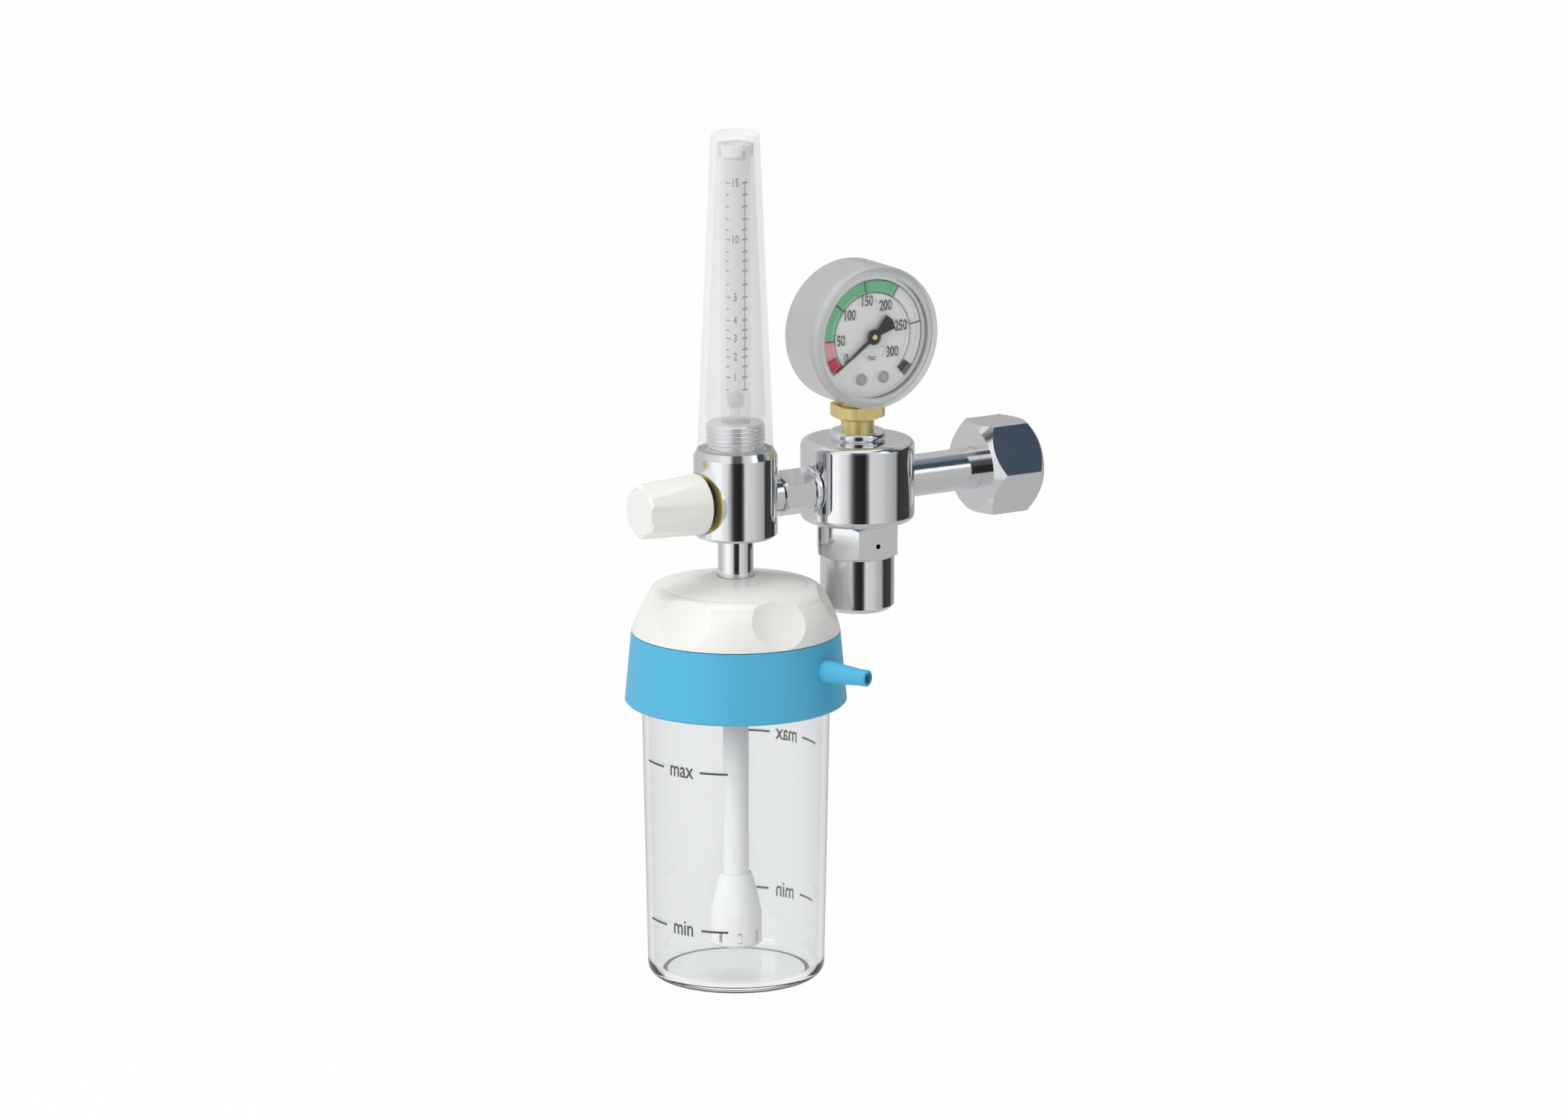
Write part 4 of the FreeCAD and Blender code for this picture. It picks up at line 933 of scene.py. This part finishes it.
@dataclass
class FlowTube(SubAssembly):
    """Flow body, valve, knob, metering tube and its scale."""

    spigot_radius: float = 9.9 * MM
    thread_height: float = 0.5 * MM
    thread_pitch: float = 1.5 * MM
    thread_low: float = 20.4 * MM
    thread_turns: float = 4.6
    thread_steps: int = 64
    thread_bite: float = 0.05 * MM
    scale_azimuth: float = -121.7
    layer: float = 0.05 * MM
    mark_start: float = -3.5 * MM
    mark_reach: float = 1.3 * MM
    long_mark_reach: float = 1.9 * MM
    mark_width: float = 0.45 * MM
    tick_start: float = 2.5 * MM
    tick_end: float = 4.9 * MM
    tick_width: float = 0.7 * MM
    rail_place: float = 3.7 * MM
    rail_width: float = 0.4 * MM
    figure_height: float = 4.0 * MM
    figure_width: float = 0.68
    figure_weight: float = 0.12 * MM
    heights: tuple[tuple[float, float], ...] = (
        (15.0, 113.9), (14.0, 109.7), (13.0, 105.5), (12.0, 101.0), (11.0, 97.3), (10.0, 93.8),
        (9.0, 89.5), (8.0, 86.1), (7.0, 82.6), (6.0, 77.8), (5.0, 73.3), (4.5, 69.1),
        (4.0, 65.1), (3.5, 61.6), (3.0, 58.7), (2.5, 54.7), (2.0, 52.1), (1.5, 48.6),
        (1.0, 44.8), (0.5, 40.3))
    labelled: tuple[float, ...] = (15.0, 10.0, 5.0, 4.0, 3.0, 2.0, 1.0)

    def build(self) -> None:
        """Dress the valve and the tube, cut the spigot's thread and print the scale."""
        self.dress(WORN_CHROME, "flow_body")
        self.dress(CHROME, "outlet_stem")
        self.dress(BRASS, "valve_gland", "needle_spindle")
        self.dress(BLACK_RUBBER, "gland_washer", "spindle_seal", "tube_seal", "cover_seal")
        self.dress(IVORY, "flow_knob")
        self.dress(IVORY_CAP, "knob_cap")
        self.dress(STEEL, "knob_screw", "float_ball")
        self.dress(MILKY, "ball_stop", "tube_spacer")
        self.dress(TUBE_CLEAR, "metering_tube", "tube_cover")
        self._cut_thread()
        self._print_scale()

    def _cut_thread(self) -> None:
        """Model the ridge of the thread that holds the cover."""
        start = self.axis_of("metering_tube") + Vector((0.0, 0.0, self.thread_low))
        ridge = helical_ridge(start, Vector((0.0, 0.0, 1.0)),
                              self.spigot_radius - self.thread_bite,
                              self.spigot_radius + self.thread_height, self.thread_pitch,
                              self.thread_turns, self.thread_steps)
        self.add("spigot_thread", ridge, CHROME, Body.REGULATOR, Slot.CHROME)

    def _print_scale(self) -> None:
        """Print the marks and the numbers on the metering tube."""
        low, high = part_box("metering_tube")
        radius = (high[0] - low[0]) / 2
        axis = self.axis_of("metering_tube")
        marks = []
        figures = []
        for value, height in self.heights:
            spot = height * MM
            long_mark = value in self.labelled
            reach = self.long_mark_reach if long_mark else self.mark_reach
            for left, right, width in ((self.mark_start, self.mark_start + reach, self.mark_width),
                                       (self.tick_start, self.tick_end, self.tick_width)):
                marks.append(strip(Vector((left, spot, 0.0)), Vector((right, spot, 0.0)), width,
                                   self.layer))
            if long_mark:
                number = lettering(f"{value:g}", self.figure_height, self.figure_width,
                                   self.layer, self.figure_weight)
                bmesh.ops.translate(number, vec=(0.0, spot, 0.0), verts=number.verts)
                figures.append(number)
        top = self.heights[0][1] * MM
        foot = self.heights[-1][1] * MM
        marks.append(strip(Vector((self.rail_place, foot, 0.0)),
                           Vector((self.rail_place, top, 0.0)), self.rail_width, self.layer))
        for name, forms in (("tube_scale_marks", marks), ("tube_scale_figures", figures)):
            form = joined(forms)
            wrap(form, axis, self.scale_azimuth, lambda height: radius + PRINT_LIFT)
            bmesh.ops.recalc_face_normals(form, faces=form.faces)
            self.add(name, form, INK_DARK, Body.REGULATOR, Slot.INK)


@dataclass
class Humidifier(SubAssembly):
    """Hand nut, lid, jar and diffuser, with the level marks on the jar."""

    word_azimuth: float = -158.4
    line_spans: tuple[tuple[float, float], ...] = ((-32.0, -13.2), (14.3, 32.1))
    words: tuple[tuple[str, float], ...] = (("max", -91.6), ("min", -149.4))
    word_height: float = 8.0 * MM
    word_width: float = 0.75
    word_weight: float = 0.1 * MM
    word_turn: float = 1.0
    line_width: float = 0.8 * MM
    layer: float = 0.06 * MM
    foot_radius: float = 31.4 * MM
    foot_height: float = -167.9 * MM
    shoulder_radius: float = 33.3 * MM
    shoulder_height: float = -72.7 * MM

    def build(self) -> None:
        """Dress the bottle and print its level marks."""
        self.dress(IVORY, "hand_nut")
        self.dress(BLUE, "humidifier_lid")
        self.dress(BRASS, "humidifier_inlet")
        self.dress(WHITE_SEAL, "outlet_seal")
        self.dress(BLACK_RUBBER, "jar_gasket")
        self.dress(MILKY, "diffuser_tube", "diffuser_bell")
        self.dress(JAR_CLEAR, "jar")
        self._print_levels()

    def _radius_at(self, height: float) -> float:
        """Radius of the jar's wall at a height."""
        share = (height - self.foot_height) / (self.shoulder_height - self.foot_height)
        return self.foot_radius + share * (self.shoulder_radius - self.foot_radius)

    def _print_levels(self) -> None:
        """Print both copies of the level lines and their words."""
        axis = self.axis_of("jar")
        lines = []
        words = []
        for turn in (0.0, 180.0):
            for word, height in self.words:
                spot = height * MM
                radius = self._radius_at(spot)
                text = lettering(word, self.word_height, self.word_width, self.layer,
                                 self.word_weight)
                bmesh.ops.translate(text, vec=(0.0, spot, 0.0), verts=text.verts)
                wrap(text, axis, self.word_azimuth + self.word_turn + turn, self._radius_at)
                words.append(text)
                for start, end in self.line_spans:
                    left = Vector((math.radians(start) * radius, spot, 0.0))
                    right = Vector((math.radians(end) * radius, spot, 0.0))
                    line = strip(left, right, self.line_width, self.layer)
                    wrap(line, axis, self.word_azimuth + turn, self._radius_at)
                    lines.append(line)
        for name, forms in (("jar_level_lines", lines), ("jar_level_words", words)):
            form = joined(forms)
            bmesh.ops.recalc_face_normals(form, faces=form.faces)
            self.add(name, form, INK_GREY, Body.JAR, Slot.INK)


NAVY: Colour = (0.055, 0.08, 0.115)


def grey(level: float) -> Colour:
    """A grey colour."""
    return (level, level, level)


@dataclass
class Studio:
    """Floor, world, lamps, reflecting dome and camera.

    The dome is what polished metal shows. Each of its bands begins to show at a first height, in
    degrees above the horizon, and hides the bands before it from a second height up. Its stops
    give the colour at an angle from the camera's side, turning to the right.
    """

    floor_height: float
    floor_reach: float = 12.0
    floor_grey: float = 0.9
    floor_glow: float = 0.96
    fill_strength: float = 0.40
    centre: Vector = field(default_factory=lambda: Vector((-0.095, 0.0, 0.0)))
    camera_place: Place = (-1.5550, -2.3604, 0.6190)
    camera_forward: Place = (0.5111, 0.82927, -0.22603)
    camera_right: Place = (0.8513, -0.5247, 0.0)
    focal_length: float = 184.71
    sensor_width: float = 36.0
    nearest: float = 0.05
    farthest: float = 60.0
    dome_radius: float = 2.0
    dome_facets: int = 96
    dome_bands: tuple[tuple[float, float, tuple[tuple[float, Colour], ...]], ...] = (
        (-90.0, -89.0, ((-180.0, grey(0.62)), (-60.0, grey(0.66)), (40.0, grey(0.50)),
                        (110.0, grey(0.52)), (180.0, grey(0.62)))),
        (-22.0, -17.0, ((-180.0, grey(0.60)), (-140.0, grey(0.60)), (-92.0, grey(0.64)),
                        (-86.0, grey(0.95)), (-80.0, grey(0.95)), (-72.0, grey(0.82)),
                        (-67.0, grey(1.15)), (-40.0, grey(1.12)), (-34.0, grey(0.95)),
                        (-21.0, grey(0.80)), (-15.0, grey(0.48)), (-9.0, grey(0.12)),
                        (-3.0, grey(0.03)), (15.0, grey(0.015)), (21.0, grey(0.14)),
                        (27.0, grey(0.76)), (53.0, grey(0.68)), (60.0, grey(0.58)),
                        (75.0, grey(0.50)), (84.0, grey(0.40)), (89.0, grey(0.04)),
                        (127.0, grey(0.06)), (133.0, grey(0.32)), (180.0, grey(0.50)))),
        (12.0, 24.0, ((-180.0, grey(0.60)), (-110.0, grey(0.66)), (-60.0, grey(0.85)),
                     (-40.0, grey(1.0)), (-20.0, grey(0.90)), (-8.0, grey(0.10)),
                     (18.0, grey(0.10)), (28.0, grey(0.70)), (50.0, grey(0.80)),
                     (58.0, grey(1.25)), (71.0, grey(1.25)), (73.0, NAVY),
                     (92.0, NAVY), (108.0, grey(0.48)), (180.0, grey(0.60)))),
        (46.0, 50.0, ((-180.0, grey(0.76)), (-60.0, grey(0.92)), (30.0, grey(0.84)),
                      (52.0, grey(0.50)), (60.0, NAVY), (88.0, NAVY),
                      (100.0, (0.20, 0.225, 0.25)), (135.0, (0.28, 0.31, 0.33)),
                      (152.0, grey(0.60)), (180.0, grey(0.70)))),
        (58.0, 68.0, ((-180.0, grey(0.95)), (180.0, grey(0.95)))))
    lamps: tuple[tuple[str, Place, float, float], ...] = (
        ("key_lamp", (-2.1, -0.5, 1.0), 1.2, 23.0), ("fill_lamp", (1.1, -1.5, 0.9), 1.0, 1.5),
        ("top_lamp", (-0.2, 0.2, 2.1), 1.2, 21.0))

    def build(self) -> None:
        """Make everything that isn't part of the object."""
        self._lay_floor()
        self._light_world()
        self._raise_dome()
        self._hang_lamps()
        self._place_camera()

    @staticmethod
    def _seen(graph: Graph) -> Signal:
        """One for rays that show the background: from the camera, a reflection or clear plastic."""
        path = graph.add("ShaderNodeLightPath")
        camera = graph.signal(path, "Is Camera Ray")
        glossy = graph.signal(path, "Is Glossy Ray")
        return camera.largest(glossy).largest(graph.signal(path, "Is Transmission Ray"))

    @staticmethod
    def _stage(name: str, form: bmesh.types.BMesh) -> tuple[bpy.types.Object, Graph]:
        """Make a piece of the studio.

        Args:
            name: Name of the piece and of its material.
            form: Form of the piece.

        Returns:
            The object and the empty graph of its material.
        """
        mesh = bpy.data.meshes.new(name)
        form.to_mesh(mesh)
        form.free()
        piece = bpy.data.objects.new(name, mesh)
        bpy.context.scene.collection.objects.link(piece)
        material = bpy.data.materials.new(name)
        material.use_nodes = True
        mesh.materials.append(material)
        piece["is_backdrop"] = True
        return piece, Graph(material.node_tree)

    def _lay_floor(self) -> None:
        """Lay a pale floor that keeps a faint shadow."""
        form = bmesh.new()
        bmesh.ops.create_grid(form, x_segments=1, y_segments=1, size=self.floor_reach)
        bmesh.ops.translate(form, vec=(0.0, 0.0, self.floor_height), verts=form.verts)
        floor, graph = self._stage("pale_floor", form)
        matt = graph.add("ShaderNodeBsdfDiffuse", None, {"Color": (*grey(self.floor_grey), 1.0)})
        white = graph.add("ShaderNodeEmission", None, {"Color": (*grey(1.0), 1.0)})
        glow = self._seen(graph) * self.floor_glow
        mixed = graph.add("ShaderNodeMixShader", None,
                          {0: glow, 1: matt.outputs[0], 2: white.outputs[0]})
        graph.add("ShaderNodeOutputMaterial", None, {"Surface": mixed.outputs[0]})
        floor.visible_glossy = False

    def _light_world(self) -> None:
        """Fill the world with plain white light."""
        world = bpy.data.worlds.new("studio_world")
        world.use_nodes = True
        graph = Graph(world.node_tree)
        fill, white = (
            graph.add("ShaderNodeBackground", None,
                      {"Color": (*grey(1.0), 1.0), "Strength": strength})
            for strength in (self.fill_strength, 1.0))
        mixed = graph.add("ShaderNodeMixShader", None,
                          {0: self._seen(graph), 1: fill.outputs[0], 2: white.outputs[0]})
        graph.add("ShaderNodeOutputWorld", None, {"Surface": mixed.outputs[0]})
        bpy.context.scene.world = world

    def _raise_dome(self) -> None:
        """Raise a dome round the studio, which only gloss shows."""
        form = bmesh.new()
        bmesh.ops.create_uvsphere(form, u_segments=self.dome_facets,
                                  v_segments=self.dome_facets // 2, radius=self.dome_radius)
        dome, graph = self._stage("studio_dome", form)
        dome.location = self.centre
        dome.rotation_euler.z = math.atan2(self.camera_place[1] - self.centre.y,
                                           self.camera_place[0] - self.centre.x)
        turn = graph.coordinate(1).angle(graph.coordinate(0)) * (0.5 / math.pi) + 0.5
        height = graph.coordinate(2) * (1.0 / self.dome_radius)
        colour: Any = grey(0.5)
        for start, end, stops in self.dome_bands:
            ramp = graph.add("ShaderNodeValToRGB", {
                "stops": [(degrees / 360.0 + 0.5, shade) for degrees, shade in stops]}, {0: turn})
            low, high = (math.sin(math.radians(degrees)) for degrees in (start, end))
            colour = graph.blend(height.rises(low, high), colour, ramp.outputs[0])
        glow = graph.add("ShaderNodeEmission", None, {"Color": colour})
        graph.add("ShaderNodeOutputMaterial", None, {"Surface": glow.outputs[0]})
        dome.visible_camera = False
        dome.visible_diffuse = False
        dome.visible_transmission = False
        dome.visible_volume_scatter = False
        dome.visible_shadow = False

    def _hang_lamps(self) -> None:
        """Hang the soft lamps."""
        for name, place, size, power in self.lamps:
            data = bpy.data.lights.new(name, "AREA")
            data.shape = "SQUARE"
            data.size = size
            data.energy = power
            lamp = bpy.data.objects.new(name, data)
            lamp.location = place
            aim = self.centre - Vector(place)
            lamp.rotation_euler = aim.to_track_quat("-Z", "Y").to_euler()
            lamp.visible_glossy = False
            bpy.context.scene.collection.objects.link(lamp)

    def _place_camera(self) -> None:
        """Place the camera where the photograph was taken from."""
        data = bpy.data.cameras.new("photo_camera")
        data.sensor_fit = "HORIZONTAL"
        data.sensor_width = self.sensor_width
        data.lens = self.focal_length
        data.clip_start = self.nearest
        data.clip_end = self.farthest
        camera = bpy.data.objects.new("photo_camera", data)
        forward = Vector(self.camera_forward).normalized()
        right = Vector(self.camera_right).normalized()
        up = right.cross(forward)
        turn = Matrix((right, up, -forward)).transposed()
        camera.matrix_world = Matrix.Translation(self.camera_place) @ turn.to_4x4()
        bpy.context.scene.collection.objects.link(camera)
        bpy.context.scene.camera = camera


def main() -> None:
    """Build every sub-assembly, then the studio round it."""
    logging.basicConfig(level=logging.INFO, format="%(name)s: %(message)s")
    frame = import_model()
    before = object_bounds()
    for kind in (Regulator, Gauge, FlowTube, Humidifier):
        assembly = kind(frame)
        assembly.build()
        log.info("%s: %s", kind.__name__, ", ".join(assembly.made))
    Studio(before[0].z).build()
    bpy.context.scene.view_settings.view_transform = "Standard"


if __name__ == "__main__":
    main()
